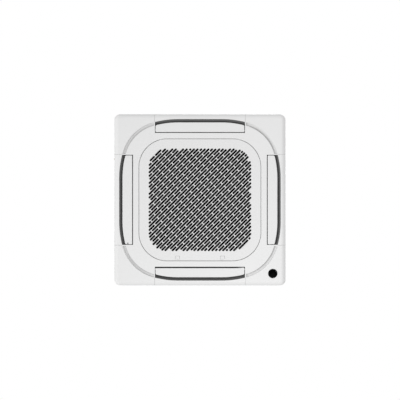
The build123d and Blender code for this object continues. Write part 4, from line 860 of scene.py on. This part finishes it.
def facing(place, outward):
    """The matrix that stands a pattern's +Z along a direction, at a place."""
    turn = Vector((0, 0, 1)).rotation_difference(Vector(outward)).to_matrix().to_4x4()
    return Matrix.Translation(Vector(place)) @ turn


def on_four_sides(places):
    """Places given on the +Y side, repeated on all four sides."""
    turns = [Matrix.Rotation(quarter * QUARTER_TURN, 4, "Z") for quarter in range(4)]
    return [turn @ place for turn in turns for place in places]


# ---------------------------------------------------------------- small fasteners

def washer_screw():
    """A sheet-metal screw as it shows: a flanged hexagonal head with a dished top."""
    flange = cylinder_to_edit(SCREW_SIDES, FLANGE_R, FLANGE_T, FLANGE_T / 2)
    step_top(*FLANGE_STEP)
    bpy.ops.object.mode_set(mode="OBJECT")
    head = cylinder_to_edit(6, HEX_R, HEX_H, HEX_MIDDLE)
    bpy.ops.mesh.bevel(offset=HEX_EDGE, segments=1)
    pick_top(head)
    step_top(*HEX_DISH)
    bpy.ops.object.mode_set(mode="OBJECT")
    select_only(flange, head)
    bpy.ops.object.join()
    place_in_mesh(flange)
    return flange


def casing_screws():
    """The screws of the top plate, the brackets, the pipe plate and the drain flange."""
    edges = []
    for along in EDGE_SCREWS_ALONG:
        edges.append(facing((along, BODY_HALF - TOP_SCREW_IN, BODY_TOP), (0, 0, 1)))
        edges.append(facing((along, BODY_HALF, BODY_TOP - SIDE_SCREW_DOWN), (0, 1, 0)))
    places = on_four_sides(edges)
    for sx in (1, -1):
        for sy in (1, -1):
            middle = Vector((sx, sy, 0)) / math.sqrt(2) * (CORNER_FACE + BRACKET_T)
            across = Vector((sx, -sy, 0)) / math.sqrt(2)
            for along in BRACKET_SCREWS_ALONG:
                for height in BRACKET_SCREWS_UP:
                    at = middle + across * along + Vector((0, 0, height))
                    places.append(facing(at, (sx, sy, 0)))
    for y, z in PIPE_PLATE_SCREWS:
        places.append(facing((-BODY_HALF - PIPE_PLATE_T, y, z), (-1, 0, 0)))
    for x, z in DRAIN_FLANGE_SCREWS:
        places.append(facing((x, -BODY_HALF - DRAIN_FLANGE_T, z), (0, -1, 0)))
    screws = copies(washer_screw(), places)
    finish_piece(screws, "casing_screws", "screw", "unit")


def slotted_screw():
    """A small domed screw with a slot."""
    head = cylinder_to_edit(SCREW_SIDES, DOME_R, DOME_H, DOME_H / 2)
    bpy.ops.mesh.bevel(offset=DOME_EDGE, segments=3)
    bpy.ops.object.mode_set(mode="OBJECT")
    bpy.ops.mesh.primitive_cube_add(size=1, location=(0, 0, DOME_H))
    bar = bpy.context.object
    bpy.ops.transform.resize(value=SLOT_BAR)
    place_in_mesh(bar)
    cut = head.modifiers.new("slot", "BOOLEAN")
    cut.operation = "DIFFERENCE"
    cut.object = bar
    select_only(head)
    bpy.ops.object.modifier_apply(modifier="slot")
    bpy.data.objects.remove(bar)
    place_in_mesh(head)
    return head


def cover_screws():
    """The screws of the control box's cover and the bell mouth, seen when the grille is open."""
    down = (0, 0, -1)
    places = [facing((x, y, COVER_FACE), down) for x, y in COVER_SCREWS]
    places += on_four_sides([facing((along, BELL_EDGE, BELL_LOW), down)
                             for along in BELL_SCREWS_ALONG])
    screws = copies(slotted_screw(), places)
    finish_piece(screws, "cover_screws", "screw", "unit")


# ---------------------------------------------------------------- coil

def coil_line():
    """Middle and outward direction of each fin, along the coil from one open end to the other."""
    half = COIL_HALF - COIL_DEPTH / 2
    r = COIL_R - COIL_DEPTH / 2
    flat = half - r
    path = []

    def straight(start, end, out):
        count = int(round((Vector(end) - Vector(start)).length / FIN_PITCH))
        for step in range(count):
            at = Vector(start).lerp(Vector(end), (step + 0.5) / count)
            path.append((at, Vector(out)))

    def corner(sx, sy, first):
        count = int(round(r * QUARTER_TURN / FIN_PITCH))
        for step in range(count):
            angle = math.radians(first + 90 * (step + 0.5) / count)
            out = Vector((math.cos(angle), math.sin(angle)))
            path.append((Vector((sx * flat, sy * flat)) + out * r, out))

    straight((-COIL_OPEN, -half), (flat, -half), (0, -1))
    corner(1, -1, -90)
    straight((half, -flat), (half, flat), (1, 0))
    corner(1, 1, 0)
    straight((flat, half), (-flat, half), (0, 1))
    corner(-1, 1, 90)
    straight((-half, flat), (-half, -COIL_OPEN), (-1, 0))
    return path


def one_fin():
    """One thin fin with its rippled face: along X its depth, along Z its height."""
    bpy.ops.mesh.primitive_grid_add(x_subdivisions=FIN_FLATS, y_subdivisions=1, size=1)
    fin = bpy.context.object
    bpy.ops.object.mode_set(mode="EDIT")
    bm = bmesh.from_edit_mesh(fin.data)
    for vertex in bm.verts:
        column = round((vertex.co.x + 0.5) * FIN_FLATS)
        high = COIL_TOP if vertex.co.y > 0 else COIL_LOW
        ripple = FIN_T * (1 if column % 2 else -1) if 0 < column < FIN_FLATS else 0
        vertex.co = (vertex.co.x * (COIL_DEPTH - FIN_SHORT), ripple, high)
    bmesh.update_edit_mesh(fin.data)
    bpy.ops.object.mode_set(mode="OBJECT")
    thicken(fin, FIN_T)
    return fin


def coil_fin_stack():
    places = []
    for at, out in coil_line():
        turn = Matrix.Rotation(math.atan2(out.y, out.x), 4, "Z")
        places.append(Matrix.Translation((at.x, at.y, 0)) @ turn)
    stack = copies(one_fin(), places)
    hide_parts("coil_fins")
    finish_piece(stack, "coil_fin_stack", "fin", "unit")


# ---------------------------------------------------------------- soft pieces

def filter_net():
    """The woven net, one thin sheet that dips a little between the filter's bars."""
    bpy.ops.mesh.primitive_grid_add(x_subdivisions=NET_STEPS, y_subdivisions=NET_STEPS,
                                    size=2 * FILTER_HALF)
    net = bpy.context.object
    bpy.ops.object.mode_set(mode="EDIT")
    bm = bmesh.from_edit_mesh(net.data)
    flat = FILTER_HALF - FILTER_R
    field = 2 * FILTER_HALF / NET_FIELDS
    for vertex in bm.verts:
        x, y = vertex.co.x, vertex.co.y
        dx, dy = max(abs(x) - flat, 0), max(abs(y) - flat, 0)
        far = math.hypot(dx, dy)
        if far > FILTER_R and dx > 0 and dy > 0:
            x = math.copysign(flat + dx * FILTER_R / far, x)
            y = math.copysign(flat + dy * FILTER_R / far, y)
        dip = NET_DIP * abs(math.sin(math.pi * (x + FILTER_HALF) / field)
                            * math.sin(math.pi * (y + FILTER_HALF) / field))
        vertex.co = (x, y, NET_AT - dip)
    bmesh.update_edit_mesh(net.data)
    bpy.ops.object.mode_set(mode="OBJECT")
    thicken(net, NET_T)
    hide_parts("filter_mesh")
    finish_piece(net, "filter_net", "net", "grille")


def seal_strip():
    """The panel's foam seal, with the slack edges of cut foam."""
    source = nodes["panel_seal"]
    strip = source.copy()
    strip.data = source.data.copy()
    strip.parent = None
    for key in [k for k in strip.keys() if k.startswith("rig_")]:
        del strip[key]
    bpy.context.scene.collection.objects.link(strip)
    select_only(strip)
    bpy.ops.object.mode_set(mode="EDIT")
    bpy.ops.mesh.select_all(action="SELECT")
    bpy.ops.mesh.remove_doubles(threshold=SEAL_WELD)
    bpy.ops.mesh.dissolve_limited(angle_limit=math.radians(SEAL_FLAT))
    bpy.ops.object.mode_set(mode="OBJECT")
    edge = strip.modifiers.new("edge", "BEVEL")
    edge.width = SEAL_EDGE
    edge.segments = SEAL_EDGE_STEPS
    edge.limit_method = "ANGLE"
    edge.angle_limit = math.radians(SEAL_SHARP)
    bpy.ops.object.modifier_apply(modifier="edge")
    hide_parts("panel_seal")
    finish_piece(strip, "seal_strip", "seal", "unit")


# ---------------------------------------------------------------- studio

def lamp(name, at, aim, size, power):
    data = bpy.data.lights.new(name, "AREA")
    data.shape = "SQUARE"
    data.size = size
    data.energy = power
    made = bpy.data.objects.new(name, data)
    made.location = at
    made.rotation_euler = (Vector(aim) - Vector(at)).to_track_quat("-Z", "Y").to_euler()
    made.visible_camera = False
    bpy.context.scene.collection.objects.link(made)


def sun(name, towards, strength, spread):
    """A distant soft light that leaves no highlight."""
    data = bpy.data.lights.new(name, "SUN")
    data.energy = strength
    data.angle = math.radians(spread)
    made = bpy.data.objects.new(name, data)
    made.rotation_euler = Vector(towards).to_track_quat("Z", "Y").to_euler()
    made.visible_glossy = False
    bpy.context.scene.collection.objects.link(made)


def studio_floor():
    """A pale floor far below the unit."""
    bpy.ops.object.select_all(action="DESELECT")
    bpy.ops.mesh.primitive_plane_add(size=FLOOR_SIDE, location=FLOOR_AT)
    floor = bpy.context.object
    floor.name = "studio_floor"
    cover, tree, shader = material("floor_paper", Roughness=0.9)
    tone = use(tree, "tone_drift", Color=grey(240), Amount=0.02, Scale=1.5)
    feed(tree, shader.inputs["Base Color"], tone["Color"])
    shader.inputs["Emission Color"].default_value = WHITE_LIGHT
    seen = add(tree, "ShaderNodeLightPath").outputs["Is Camera Ray"]
    feed(tree, shader.inputs["Emission Strength"], product(tree, seen, FLOOR_GLOW))
    floor.data.materials.append(cover)


def surround():
    """A soft light from all around, which the lens and gloss see as plain white."""
    world = bpy.data.worlds.new("studio_world")
    bpy.context.scene.world = world
    world.use_nodes = True
    tree = world.node_tree
    tree.nodes.clear()
    ray = add(tree, "ShaderNodeLightPath").outputs
    seen = maths(tree, "ADD", ray["Is Camera Ray"], ray["Is Glossy Ray"], clamp=True)
    seen = maths(tree, "ADD", seen, ray["Is Transmission Ray"], clamp=True)
    mix = add(tree, "ShaderNodeMixShader")
    feed(tree, mix.inputs[0], seen)
    for socket, strength in ((1, AMBIENT), (2, 1.0)):
        glow = add(tree, "ShaderNodeBackground")
        glow.inputs["Color"].default_value = WHITE_LIGHT
        glow.inputs["Strength"].default_value = strength
        feed(tree, mix.inputs[socket], glow.outputs[0])
    feed(tree, add(tree, "ShaderNodeOutputWorld").inputs["Surface"], mix.outputs[0])


def studio():
    studio_floor()
    for name, settings in LAMPS.items():
        lamp(name, *settings)
    for name, settings in SUNS.items():
        sun(name, *settings)
    surround()


def camera():
    """Straight up at the panel from the room, as in the photograph."""
    data = bpy.data.cameras.new("view")
    data.type = "PERSP"
    data.lens = CAMERA_LENS
    data.sensor_width = CAMERA_SENSOR
    made = bpy.data.objects.new("view", data)
    made.location = CAMERA_AT
    made.rotation_euler = (math.pi, 0, 0)
    bpy.context.scene.collection.objects.link(made)
    bpy.context.scene.camera = made


# ---------------------------------------------------------------- make

finish_nodes()
filter_net()
seal_strip()
coil_fin_stack()
casing_screws()
cover_screws()
studio()
camera()
bpy.context.scene.view_settings.view_transform = "Standard"
